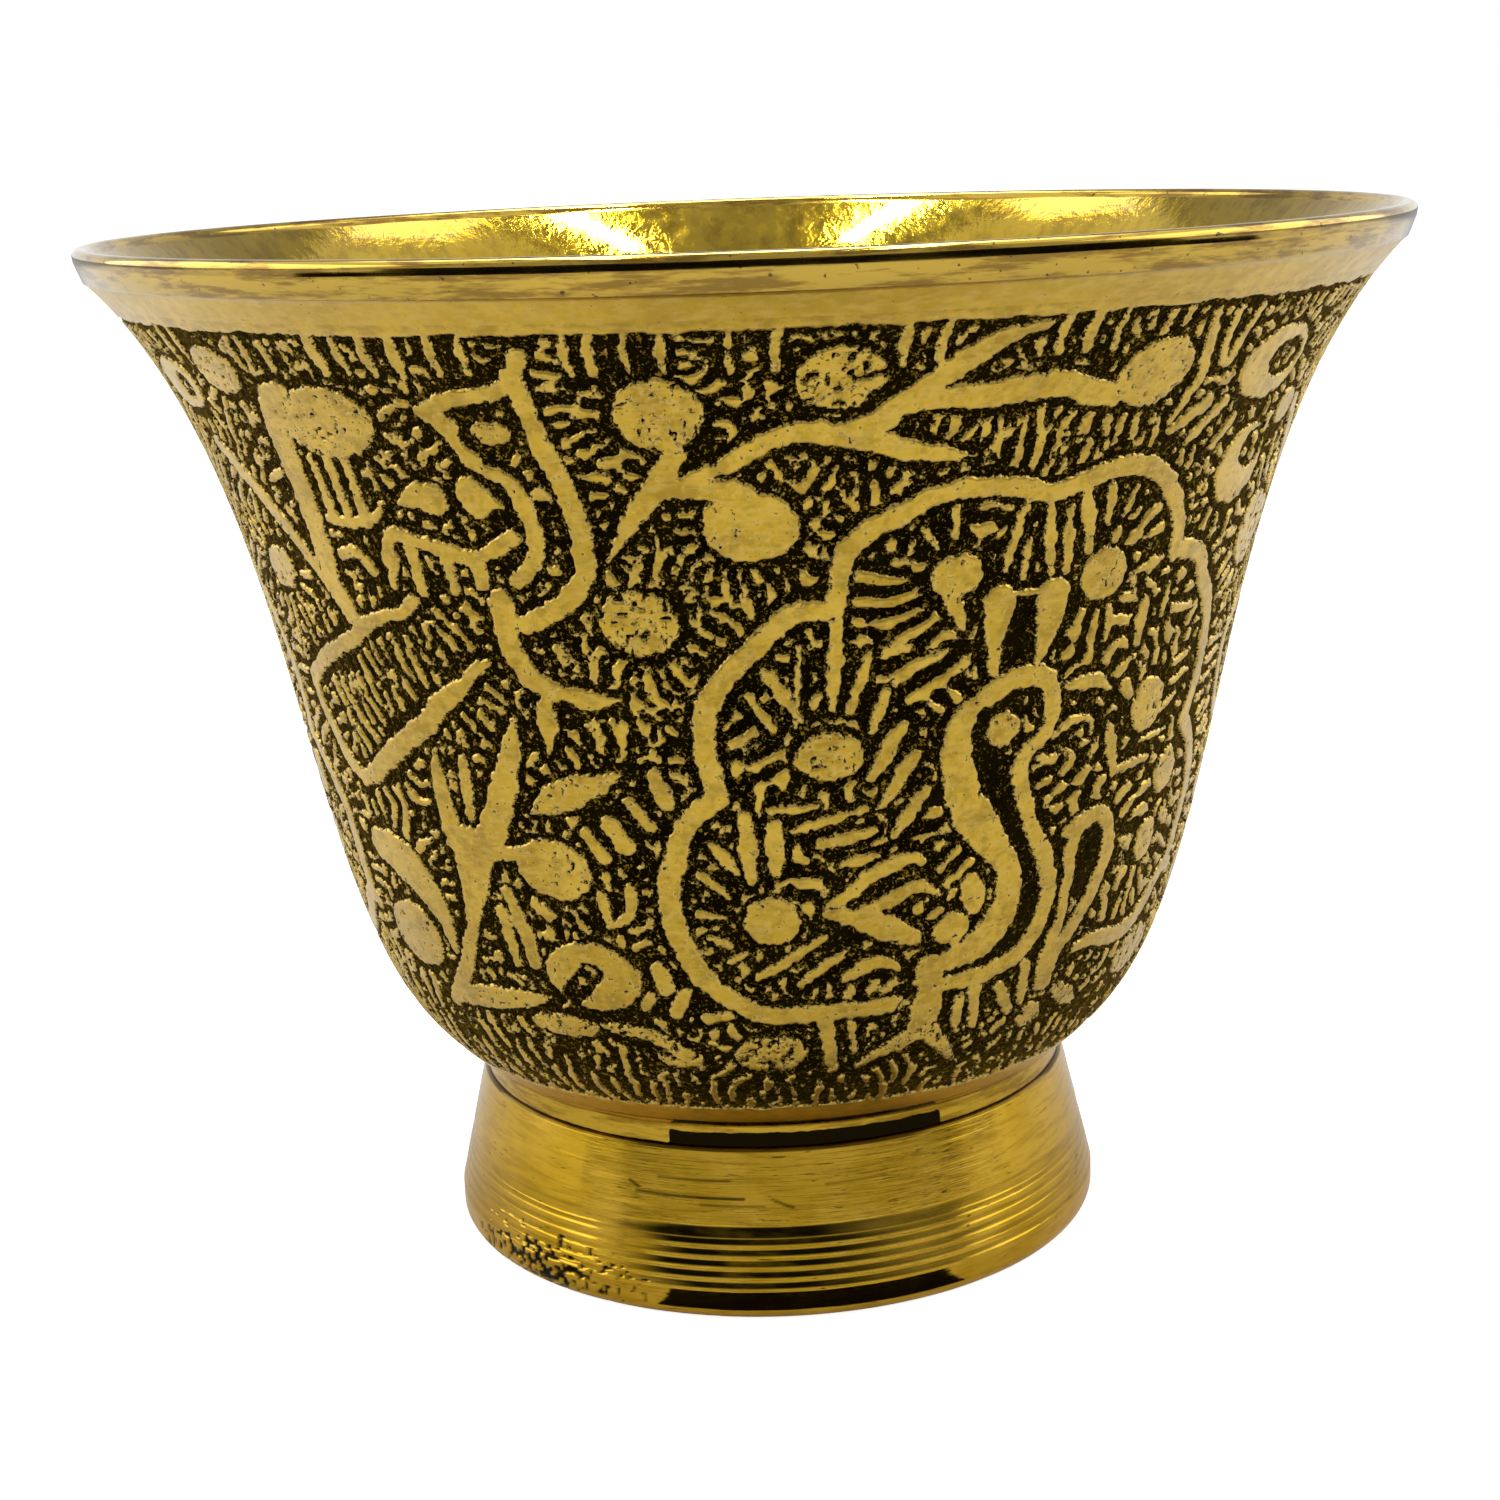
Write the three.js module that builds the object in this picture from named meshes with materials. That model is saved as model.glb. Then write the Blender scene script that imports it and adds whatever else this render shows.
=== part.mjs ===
// A footed cup of turned brass with a broad etched ornament band round its bowl.
//
// Millimetres, +Z up. The origin is the centre of the plane that the foot stands on, and the
// cup's axis is +Z. Every piece is a turned ring or shell, so each is one closed outline
// swept round the axis. Outline points are (radius, height) pairs.
import * as THREE from "three";

// Driving dimensions of the foot ring
const footHeight = 9.7; // resting plane to the face that carries the bowl
const footRadius = 19.8; // the widest turn, just above the resting ring
const footEdgeTuck = 0.8; // how far the rounded bottom edge draws in to the resting ring
const restWidth = 1.7; // how broad the flat resting ring is
const footEdgeRise = 1.0; // height of the rounded bottom edge
const footBandHeight = 0.85; // height of the upright band above the rounded edge
const footWall = 2.0; // wall at the top of the foot
const footLedge = 0.2; // how far the foot's top edge stands out beyond the bowl's neck
const footTopChamfer = 0.15; // broken edge round the top of the foot
const boreHeight = 2.5; // straight part of the hollow, under the bowl

// Lathe grooves round the lower half of the foot
const grooveCount = 5;
const groovePitch = 0.6;
const grooveWidth = 0.3;
const grooveDepth = 0.08;
const grooveStart = 0.35; // first groove's centre above the upright band

// Driving dimensions of the bowl, with heights measured up from its seat on the foot
const bowlHeight = 50.5; // seat to the crest of the lip
const neckRadius = 17.8;
const neckHeight = 1.4; // upright turned neck above the seat
const neckShoulder = 0.4; // how far the underside starts outside the neck
const waistRadius = 26.6; // where the rounded base turns into the long flared wall
const waistHeight = 18.8;
const waistSlope = 0.218; // how much the wall leans out for each millimetre of height there
const baseFullness = 13.0; // reach of the curve below the waist
const wallFullness = 8.6; // reach of the curve above the waist
const undersideReach = { out: 3.6, up: 3.3 }; // direction in which the underside leaves the neck
const flareReach = { out: 6.9, up: 7.1 }; // direction in which the flare meets the lip
const wallThickness = 1.3;
const floorThickness = 1.7;
const floorRadius = 11.5; // flat part of the floor inside

// The lip, a slightly thicker band with a rounded crest
const rimRadius = 38.0;
const lipDrop = 1.85; // crest down to the bottom of the lip band
const lipInset = 0.55; // how far the flare ends inside the rim radius
const lipStep = 0.08; // ledge under the lip band
const facetDrop = 0.35; // crest down to the outermost turn
const facetHeight = 0.4; // the narrow upright facet at the outermost turn
const facetLean = 0.05;
const crestWidth = 1.3; // rounded crest, measured across the lip

// The etched ornament field and the lacquer in it
const fieldTopDrop = 3.7; // crest down to the field's upper border
const fieldBottomRise = 3.4; // seat up to the field's lower border
const fieldDepth = 0.3;

// The solder in the corner inside the foot
const solderLeg = 1.0;

// How finely the round shapes are cut into flats
const sides = 64;
const neckCurveSteps = 3;
const fieldSteps = 15;
const flareSteps = 2;
const crestSteps = 6;
const innerWallSteps = 9;
const floorCurveSteps = 6;
const footEdgeSteps = 4;

// Heights and radii that follow from the dimensions above
const seat = footHeight;
const rimHeight = seat + bowlHeight;
const restRadius = footRadius - footEdgeTuck;
const footTopRadius = neckRadius + footLedge;
const boreRadius = footTopRadius - footWall;

const point = (radius, height) => new THREE.Vector2(radius, height);

// The outside of the bowl from its neck to the lip: a rounded base and a flared wall, which meet
// smoothly at the waist.
function makeWallCurve() {
  const start = point(neckRadius + neckShoulder, seat + neckHeight);
  const waist = point(waistRadius, seat + waistHeight);
  const end = point(rimRadius - lipInset, rimHeight - lipDrop);
  const lean = point(waistSlope, 1);
  const base = new THREE.CubicBezierCurve(
    start,
    point(start.x + undersideReach.out, start.y + undersideReach.up),
    waist.clone().addScaledVector(lean, -baseFullness),
    waist,
  );
  const flare = new THREE.CubicBezierCurve(
    waist,
    waist.clone().addScaledVector(lean, wallFullness),
    point(end.x - flareReach.out, end.y - flareReach.up),
    end,
  );
  const wall = new THREE.CurvePath();
  wall.add(base);
  wall.add(flare);
  return wall;
}

const wallCurve = makeWallCurve();

// Place along the wall curve, from 0 at the neck to 1 at the lip, that lies at a height.
function placeAtHeight(height) {
  let low = 0;
  let high = 1;
  for (let i = 0; i < 40; i++) {
    const middle = (low + high) / 2;
    if (wallCurve.getPoint(middle).y < height) low = middle;
    else high = middle;
  }
  return (low + high) / 2;
}

// A point a given distance inside the outer surface, square to it.
function insideWall(place, distance) {
  const tangent = wallCurve.getTangent(place);
  const surface = wallCurve.getPoint(place);
  return point(surface.x - tangent.y * distance, surface.y + tangent.x * distance);
}

// Points at equal steps along the wall curve from one place to another, at a distance inside it.
function alongWall(from, to, steps, distance) {
  const points = [];
  for (let i = 0; i <= steps; i++) {
    points.push(insideWall(from + ((to - from) * i) / steps, distance));
  }
  return points;
}

const fieldBottom = placeAtHeight(seat + fieldBottomRise);
const fieldTop = placeAtHeight(rimHeight - fieldTopDrop);
const fieldSurface = alongWall(fieldBottom, fieldTop, fieldSteps, 0);
const fieldFloor = alongWall(fieldBottom, fieldTop, fieldSteps, fieldDepth);

// The lip from the ledge under its band, over the crest, to its inner edge.
function lipOutline() {
  const bandFoot = point(rimRadius - lipInset + lipStep, rimHeight - lipDrop);
  const facetFoot = point(rimRadius - facetLean, rimHeight - facetDrop - facetHeight);
  const facetTop = point(rimRadius, rimHeight - facetDrop);
  const innerEdge = point(rimRadius - crestWidth, rimHeight - facetDrop);
  const crest = new THREE.CubicBezierCurve(
    facetTop,
    point(facetTop.x - crestWidth * 0.1, rimHeight + facetDrop / 3),
    point(innerEdge.x + crestWidth * 0.1, rimHeight + facetDrop / 3),
    innerEdge,
  );
  return [bandFoot, facetFoot, ...crest.getPoints(crestSteps)];
}

// The inside of the bowl, down its wall and over a soft corner to the flat floor.
function innerOutline() {
  const top = placeAtHeight(rimHeight - lipDrop);
  const low = placeAtHeight(seat + waistHeight * 0.72);
  const wall = alongWall(top, low, innerWallSteps, wallThickness);
  const cornerStart = wall[wall.length - 1];
  const down = wallCurve.getTangent(low).multiplyScalar(-1);
  const floorHeight = seat + floorThickness;
  const drop = (cornerStart.y - floorHeight) / -down.y;
  const corner = new THREE.CubicBezierCurve(
    cornerStart,
    cornerStart.clone().addScaledVector(down, drop * 0.55),
    point(floorRadius + (cornerStart.x - floorRadius) * 0.55, floorHeight),
    point(floorRadius, floorHeight),
  );
  return [...wall, ...corner.getPoints(floorCurveSteps).slice(1), point(0, floorHeight)];
}

// Sweeps a closed outline round the axis. The outline runs up the outside of the piece.
function turned(name, outline, color, roughness, metalness) {
  const geometry = new THREE.LatheGeometry(outline, sides);
  const material = new THREE.MeshStandardMaterial({ color, roughness, metalness });
  const mesh = new THREE.Mesh(geometry, material);
  mesh.name = name;
  mesh.rotation.x = Math.PI / 2; // the sweep runs round +Y, and the cup stands along +Z
  return mesh;
}

function makeBowl() {
  const outline = [
    point(0, seat),
    point(neckRadius, seat),
    point(neckRadius, seat + neckHeight),
    ...alongWall(0, fieldBottom, neckCurveSteps, 0),
    ...fieldFloor,
    ...alongWall(fieldTop, 1, flareSteps, 0),
    ...lipOutline(),
    ...innerOutline(),
  ];
  return turned("bowl", outline, 0xc8a84b, 0.32, 1.0);
}

// Fills the etched field, with its own two faces on the field's floor and on the bowl's surface.
function makeLacquerInlay() {
  const outline = [...fieldSurface, ...fieldFloor.slice().reverse(), fieldSurface[0]];
  return turned("lacquer_inlay", outline, 0x14140c, 0.55, 0.0);
}

// Radius of the foot's outer cone at a height.
function footConeRadius(height) {
  const bottom = footEdgeRise + footBandHeight;
  const top = footHeight - footTopChamfer;
  const share = (height - bottom) / (top - bottom);
  return footRadius + (footTopRadius - footRadius) * share;
}

function grooveOutline() {
  const points = [];
  for (let i = 0; i < grooveCount; i++) {
    const centre = footEdgeRise + footBandHeight + grooveStart + i * groovePitch;
    for (const [offset, depth] of [[-0.5, 0], [0, grooveDepth], [0.5, 0]]) {
      const height = centre + offset * grooveWidth;
      points.push(point(footConeRadius(height) - depth, height));
    }
  }
  return points;
}

function makeFootRing() {
  const edge = new THREE.QuadraticBezierCurve(
    point(restRadius, 0),
    point(footRadius, footEdgeRise * 0.25),
    point(footRadius, footEdgeRise),
  );
  const outline = [
    ...edge.getPoints(footEdgeSteps),
    point(footRadius, footEdgeRise + footBandHeight),
    ...grooveOutline(),
    point(footTopRadius, footHeight - footTopChamfer),
    point(footTopRadius - footTopChamfer, footHeight),
    point(boreRadius, footHeight),
    point(boreRadius, footHeight - solderLeg),
    point(boreRadius, footHeight - boreHeight),
    point(restRadius - restWidth, 0),
    point(restRadius, 0),
  ];
  return turned("foot_ring", outline, 0xc49f3c, 0.28, 1.0);
}

// A bead in the corner between the bowl's seat and the wall of the foot's hollow.
function makeSolderSeam() {
  const outline = [
    point(boreRadius, footHeight - solderLeg),
    point(boreRadius, footHeight),
    point(boreRadius - solderLeg, footHeight),
    point(boreRadius - solderLeg * 0.4, footHeight - solderLeg * 0.4),
    point(boreRadius, footHeight - solderLeg),
  ];
  return turned("solder_seam", outline, 0xb9b4a0, 0.45, 1.0);
}

const cup = new THREE.Group();
cup.add(makeBowl());
cup.add(makeLacquerInlay());
cup.add(makeFootRing());
cup.add(makeSolderSeam());

export default cup;
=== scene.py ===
"""Dresses the cup: a turned brass bowl with an etched, black-filled ornament band, on a turned foot.

Shapes are worked out in millimetres, with the sizes of the solid model, and stored in metres. Angles
are degrees round the axis from the front of the cup (-Y), positive towards its right-hand side (+X).
Turned outlines are (radius, height) points, and the ornament is drawn in (angle, height) points.
"""

import math

import bpy
import numpy as np
from mathutils import Matrix


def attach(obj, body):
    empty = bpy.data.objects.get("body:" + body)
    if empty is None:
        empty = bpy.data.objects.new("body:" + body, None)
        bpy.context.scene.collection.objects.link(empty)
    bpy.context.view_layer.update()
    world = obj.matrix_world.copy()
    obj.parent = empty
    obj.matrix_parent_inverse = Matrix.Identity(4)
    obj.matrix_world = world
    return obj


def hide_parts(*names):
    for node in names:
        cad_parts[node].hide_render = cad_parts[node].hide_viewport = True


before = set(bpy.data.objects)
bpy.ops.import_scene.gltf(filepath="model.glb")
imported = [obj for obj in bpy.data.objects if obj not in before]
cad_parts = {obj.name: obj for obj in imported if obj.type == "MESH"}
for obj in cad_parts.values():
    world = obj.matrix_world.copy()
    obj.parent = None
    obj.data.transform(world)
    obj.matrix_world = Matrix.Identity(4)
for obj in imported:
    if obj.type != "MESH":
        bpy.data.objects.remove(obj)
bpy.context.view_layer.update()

# The foot
FOOT_HEIGHT = 9.7
FOOT_RADIUS = 19.8
FOOT_EDGE_TUCK = 0.8
FOOT_EDGE_RISE = 1.0
FOOT_BAND_HEIGHT = 0.85
REST_WIDTH = 1.7
FOOT_WALL = 2.0
FOOT_LEDGE = 0.2
FOOT_TOP_CHAMFER = 0.15
BORE_HEIGHT = 2.5
GROOVE_COUNT = 5
GROOVE_PITCH = 0.6
GROOVE_START = 0.35
GROOVE_RELIEF = 0.018
SOLDER_LEG = 1.0

# The bowl
BOWL_HEIGHT = 50.5
NECK_RADIUS = 17.8
NECK_HEIGHT = 1.4
NECK_SHOULDER = 0.4
WAIST_RADIUS = 26.6
WAIST_HEIGHT = 18.8
WAIST_LEAN = 0.218
BASE_FULLNESS = 13.0
WALL_FULLNESS = 8.6
UNDERSIDE_REACH = (3.6, 3.3)
FLARE_REACH = (6.9, 7.1)
WALL_THICKNESS = 1.3
FLOOR_THICKNESS = 1.7
FLOOR_RADIUS = 11.5
RIM_RADIUS = 38.0
LIP_DROP = 1.85
LIP_INSET = 0.55
LIP_STEP = 0.08
FACET_DROP = 0.35
FACET_HEIGHT = 0.4
FACET_LEAN = 0.05
CREST_ROUNDING = 0.13  # how far the crest's curve reaches in from each of its edges

# The etched field
FIELD_TOP_DROP = 3.7
FIELD_BOTTOM_RISE = 3.4
ETCH_DEPTH = 0.28  # the etched floor below the polished surface
LACQUER_LEVEL = 0.12  # the black filling's face below the polished surface
FAR = 9.0  # stands for well inside a raised shape, and -FAR for well outside

# Heights that follow
SEAT = FOOT_HEIGHT
NECK_TOP = SEAT + NECK_HEIGHT
RIM_HEIGHT = SEAT + BOWL_HEIGHT
LIP_FOOT = RIM_HEIGHT - LIP_DROP
FIELD_TOP = RIM_HEIGHT - FIELD_TOP_DROP
FIELD_BOTTOM = SEAT + FIELD_BOTTOM_RISE
FOOT_BAND_TOP = FOOT_EDGE_RISE + FOOT_BAND_HEIGHT
FOOT_CONE_TOP = FOOT_HEIGHT - FOOT_TOP_CHAMFER
BORE_RADIUS = NECK_RADIUS + FOOT_LEDGE - FOOT_WALL

# How the short strokes of the ground are laid
MEAN_RADIUS = 29.0  # of the field, for its area
LEAN_BLOCK = 4  # grid points along each side of a block with one lean
LEAN_ROUNDS = 160  # that smooth the leans
SHAPE_MARGIN = 0.8  # how far round a shape its distances are worked out

# How finely the round shapes are cut
COLUMNS = 1700
FIELD_ROWS = 400
FOOT_COLUMNS = 720
SOLDER_COLUMNS = 240

# The groups of ornament: degrees round from the one in front, and how far each is drawn together
GROUPS = ((0.0, 1.0), (-126.0, 1.0), (117.5, 0.83))


def bezier(points, steps):
    """Points along the cubic curve with four control points."""
    t = np.linspace(0, 1, steps)[:, None]
    a, b, c, d = [np.array(p, float) for p in points]
    return (1 - t) ** 3 * a + 3 * (1 - t) ** 2 * t * b + 3 * (1 - t) * t * t * c + t**3 * d


def smooth(low, high, value):
    """Rises softly from 0 at low to 1 at high, or falls where low is the larger."""
    t = np.clip((value - low) / (high - low), 0, 1)
    return t * t * (3 - 2 * t)


def make_wall():
    """The outside of the bowl from the neck to the lip, as (radius, height) rows about 0.05 mm apart."""
    start = np.array([NECK_RADIUS + NECK_SHOULDER, NECK_TOP])
    waist = np.array([WAIST_RADIUS, SEAT + WAIST_HEIGHT])
    end = np.array([RIM_RADIUS - LIP_INSET, LIP_FOOT])
    lean = np.array([WAIST_LEAN, 1.0])
    base = bezier([start, start + UNDERSIDE_REACH, waist - BASE_FULLNESS * lean, waist], 500)
    flare = bezier([waist, waist + WALL_FULLNESS * lean, end - FLARE_REACH, end], 800)
    return np.vstack([base, flare[1:]])


WALL = make_wall()
WALL_RUN = np.concatenate([[0], np.cumsum(np.hypot(*np.diff(WALL, axis=0).T))])


def wall_radius(height):
    """Radius of the wall's outside at a height."""
    return np.interp(height, WALL[:, 1], WALL[:, 0])


def wall_run(height):
    """Length along the wall, from the neck up to a height."""
    return np.interp(height, WALL[:, 1], WALL_RUN)


def wall_tangent(run):
    """Direction of the wall's curve, as (radius, height), at a length along it."""
    behind, ahead = [np.stack([np.interp(run + step, WALL_RUN, WALL[:, axis]) for axis in (0, 1)], -1)
                     for step in (-0.05, 0.05)]
    return (ahead - behind) / np.linalg.norm(ahead - behind, axis=-1)[..., None]


def around(radius, height, angle):
    """Points at a radius and a height, at angles round the axis."""
    turn = np.radians(angle)
    return np.stack([radius * np.sin(turn), -radius * np.cos(turn), height + 0 * turn], -1)


def on_wall(angle, height):
    """Points of the wall's outside, at angles and heights."""
    return around(wall_radius(height), height, angle)


class Noise:
    """Smooth noise with the same grain everywhere on a surface, about -1 to 1."""

    def __init__(self, seed, size=48):
        self.size = size
        self.table = np.random.default_rng(seed).uniform(-1, 1, (size, size, size))

    def at(self, places, grain):
        """The noise at points in millimetres, with a grain in millimetres."""
        scaled = places / grain + 1000.0
        base = np.floor(scaled).astype(int)
        x, y, z = np.moveaxis(smooth(0, 1, scaled - base), -1, 0)
        (x0, y0, z0), (x1, y1, z1) = [np.moveaxis((base + step) % self.size, -1, 0) for step in (0, 1)]

        def level(layer):
            near = self.table[x0, y0, layer] * (1 - x) + self.table[x1, y0, layer] * x
            far = self.table[x0, y1, layer] * (1 - x) + self.table[x1, y1, layer] * x
            return near * (1 - y) + far * y

        return level(z0) * (1 - z) + level(z1) * z


def through(points, spacing=0.35):
    """Points about the spacing apart on a smooth curve through given (angle, height) points."""

    def steps_between(a, b):
        return max(2, int(np.linalg.norm(on_wall(*a) - on_wall(*b)) / spacing) + 1)

    if len(points) == 2:
        t = np.linspace(0, 1, steps_between(*points))[:, None]
        return points[0] * (1 - t) + points[1] * t
    ends = np.vstack([2 * points[0] - points[1], points, 2 * points[-1] - points[-2]])
    out = []
    for a, b, c, d in zip(ends, ends[1:], ends[2:], ends[3:]):
        steps = steps_between(b, c)
        for t in np.arange(steps) / steps:
            out.append(0.5 * (2 * b + (c - a) * t + (2 * a - 5 * b + 4 * c - d) * t * t
                              + (3 * b - a - 3 * c + d) * t**3))
    out.append(points[-1])
    return np.array(out)


class Canvas:
    """The etched field as a grid of points round the bowl.

    raised says for each point how far it lies inside a raised shape, so that above 0 is brass, and
    pitting how pitted that shape is. bare says how far it lies inside the places that stay without
    short strokes. Every shape is placed for the group that is being drawn.
    """

    def __init__(self, columns, rows):
        self.columns = columns
        self.rows = rows
        self.angle = np.arange(columns) * 360.0 / columns - 180.0
        self.run = np.linspace(wall_run(FIELD_BOTTOM - 0.5), wall_run(FIELD_TOP + 0.6), rows)
        self.height = np.interp(self.run, WALL_RUN, WALL[:, 1])
        self.place = on_wall(self.angle[None, :], self.height[:, None])
        self.raised = np.full((rows, columns), -FAR)
        self.bare = np.full((rows, columns), -FAR)
        self.pitting = np.zeros((rows, columns))
        self.panels = []  # middles of the lobed panels
        self.offset, self.squeeze = GROUPS[0]

    def window(self, angle, height, reach):
        """Rows and column numbers of the grid points within a reach of a place."""
        low, high = np.searchsorted(self.run, (wall_run(height) - reach, wall_run(height) + reach))
        middle = (angle + 180.0) / 360.0 * self.columns
        half = math.degrees(reach / wall_radius(height)) / 360.0 * self.columns
        return slice(low, high), np.arange(int(middle - half), int(middle + half) + 2) % self.columns

    def grouped(self, points):
        """The points moved round to the group that is being drawn."""
        points = np.array(points, float)
        points[..., 0] = points[..., 0] * self.squeeze + self.offset
        return points

    def inside_stroke(self, points, widths):
        """Yields rows, columns and how far their points lie inside a stroke, bit by bit along it.

        widths is one width, or several at even steps from the stroke's start to its end.
        """
        line = through(self.grouped(points))
        xyz = on_wall(line[:, 0], line[:, 1])
        travel = np.concatenate([[0], np.cumsum(np.linalg.norm(np.diff(xyz, axis=0), axis=1))])
        widths = np.atleast_1d(np.array(widths, float))
        half = np.interp(travel / travel[-1], np.linspace(0, 1, len(widths)), widths) / 2
        for i, (start, end) in enumerate(zip(xyz, xyz[1:])):
            along = end - start
            reach = (travel[i + 1] - travel[i]) / 2 + max(half[i], half[i + 1]) + SHAPE_MARGIN
            middle = (line[i] + line[i + 1]) / 2
            rows, cols = self.window(*middle, reach)
            away = self.place[rows][:, cols] - start
            share = np.clip(away @ along / max(along @ along, 1e-9), 0, 1)
            gap = np.linalg.norm(away - share[..., None] * along, axis=-1)
            yield rows, cols, half[i] + (half[i + 1] - half[i]) * share - gap

    def inside_oval(self, centre, across, up, lean=0.0):
        """Yields rows, columns and how far their points lie inside an oval with these half widths."""
        angle, height = self.grouped(centre)
        rows, cols = self.window(angle, height, max(across, up) + SHAPE_MARGIN)
        turn = (self.angle[cols] - angle + 180.0) % 360.0 - 180.0
        x = np.radians(turn)[None, :] * wall_radius(self.height[rows])[:, None]
        y = (self.run[rows] - wall_run(height))[:, None] + 0 * x
        tilt = math.radians(lean)
        u = x * math.cos(tilt) - y * math.sin(tilt)
        v = x * math.sin(tilt) + y * math.cos(tilt)
        share = np.hypot(u / across, v / up)
        slope = np.maximum(np.hypot(u / across**2, v / up**2) / np.maximum(share, 1e-6), 1e-6)
        yield rows, cols, np.where(share > 0.2, (1 - share) / slope, min(across, up) * 0.8)

    def raise_shape(self, parts, pits):
        """Raises a shape, with a share of pits in it."""
        for rows, cols, inside in parts:
            self.raised[rows, cols] = np.maximum(self.raised[rows][:, cols], inside)
            if pits:
                self.pitting[rows, cols] = np.maximum(self.pitting[rows][:, cols], pits * (inside > -0.1))

    def cut_shape(self, parts):
        """Cuts a shape out of what is raised so far."""
        for rows, cols, inside in parts:
            self.raised[rows, cols] = np.minimum(self.raised[rows][:, cols], -inside)

    def stroke(self, points, widths=1.0, pits=0.0):
        """Raises a stroke through points, with one width or several along it."""
        self.raise_shape(self.inside_stroke(points, widths), pits)

    def oval(self, centre, across, up, lean=0.0, pits=0.0):
        """Raises an oval with two half widths, turned clockwise by lean."""
        self.raise_shape(self.inside_oval(centre, across, up, lean), pits)

    def groove(self, points, widths=0.5):
        """Cuts a stroke."""
        self.cut_shape(self.inside_stroke(points, widths))

    def hollow(self, centre, across, up):
        """Cuts an oval."""
        self.cut_shape(self.inside_oval(centre, across, up))

    def keep_bare(self, points, widths=1.0):
        """Keeps the ground's short strokes out of a stroke."""
        for rows, cols, inside in self.inside_stroke(points, widths):
            self.bare[rows, cols] = np.maximum(self.bare[rows][:, cols], inside)


def draw_bird_plant(field):
    """The long-necked bird's head and the plant that hangs from it, left of the front."""
    stroke, oval, hollow = field.stroke, field.oval, field.hollow
    # head, neck and breast of the bird
    stroke([(-28, 52.7), (-24.5, 53.45), (-20.5, 53.75), (-18.4, 54.6), (-17.6, 55.5)], 0.95)
    stroke([(-28, 52.7), (-26.3, 52.2), (-25.3, 51.3), (-24.6, 50.4)], (0.9, 1.2, 1.2))
    stroke([(-18.6, 54.6), (-18.2, 52.5), (-17.6, 51), (-16.7, 49.5), (-16.1, 48), (-15.7, 46.8),
            (-15.8, 45.5), (-16.2, 44.3), (-18.5, 43), (-21, 42.2), (-23, 41.7)],
           (1.1, 1.15, 1.2, 1.2, 1.1))
    stroke([(-23.5, 49.8), (-21.5, 49.2), (-20.7, 48), (-20.2, 46.8), (-20.5, 45.6), (-21.8, 44.6),
            (-23.2, 44)], (0.8, 1.05, 1.05, 0.8))
    hollow((-22, 51.7), 1.7, 1.4)
    oval((-22, 51.7), 1.05, 0.72, pits=0.5)
    # stem and leaves under the breast
    stroke([(-25.2, 43), (-25.3, 41), (-24.6, 39.8), (-23, 38.7), (-21, 38.2)], (1.5, 1.5, 1.1))
    stroke([(-21.2, 38.3), (-18, 37.9), (-14.2, 37.9)], (0.7, 1.25, 0.2))
    stroke([(-22.3, 38.2), (-22.6, 36.5), (-22.8, 34.9)], (0.5, 1.3, 0.3))
    # leaves and comb before the neck
    stroke([(-34, 47.9), (-31.8, 48.3), (-30, 48.3)], (0.1, 1.3, 1.9))
    oval((-25.4, 48.4), 1.0, 1.2, lean=-25)
    stroke([(-25.3, 48.6), (-22.6, 47.9)], (1.6, 0.2))
    stroke([(-38, 44.6), (-36.3, 46.2), (-33, 45.9), (-30, 45.5), (-27, 45.2), (-24, 45.9), (-22.3, 46.4)],
           0.9)
    stroke([(-37, 45), (-38, 43.5)], (1.0, 0.6))
    stroke([(-34.3, 45.5), (-34.3, 43.2)], (1.0, 0.7))
    stroke([(-30.3, 45.3), (-30.3, 43.3)], (0.9, 0.6))
    stroke([(-26.8, 45.2), (-26.8, 43.8)], (1.1, 0.9))
    # the tall flower behind the bird
    oval((-39.5, 52), 3.5, 2.1, lean=-6, pits=0.5)
    stroke([(-43.5, 53.1), (-45.5, 52.8), (-47, 50.5), (-47.2, 47.5), (-47.5, 45), (-47.8, 43),
            (-46, 41.3)], (2.0, 1.9, 1.85, 1.8, 1.4))
    stroke([(-43.6, 50), (-43.6, 46.8)], (0.5, 0.85))
    stroke([(-41.3, 50.4), (-41.3, 46.8)], (0.6, 0.85))
    stroke([(-39, 49.8), (-39, 46.8)], (0.6, 0.9))
    stroke([(-44.5, 46.7), (-41, 46.7), (-38, 47), (-36, 47.9)], (0.6, 0.8, 0.4))
    stroke([(-44.6, 44.8), (-42, 45), (-40.2, 44)], 0.7)
    stroke([(-62, 50), (-58, 48.3), (-54, 46.3), (-49, 43.3)], (1.0, 1.3, 1.2, 1.0))
    oval((-58.5, 43.3), 1.8, 1.25, lean=-15, pits=0.4)
    # the leaf-shaped panel below
    stroke([(-36, 42.6), (-38.1, 41.9), (-41, 41.6), (-43.9, 41), (-47.4, 40), (-51, 39.2), (-54.6, 38.4),
            (-57.4, 37.6), (-59.6, 36.8), (-59.2, 35.3), (-57.8, 33.9), (-56, 32.6), (-53.1, 31.6)],
           (0.8, 1.0, 1.0, 1.1))
    stroke([(-53.1, 31.6), (-50.3, 32.1), (-47.4, 33), (-44.6, 33.9), (-41.7, 34.8), (-38.5, 35.7),
            (-36.2, 36.8), (-32.6, 38), (-30.1, 39.1), (-28.4, 39.6)], (1.1, 1.3, 1.3, 1.2, 0.6))


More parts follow.
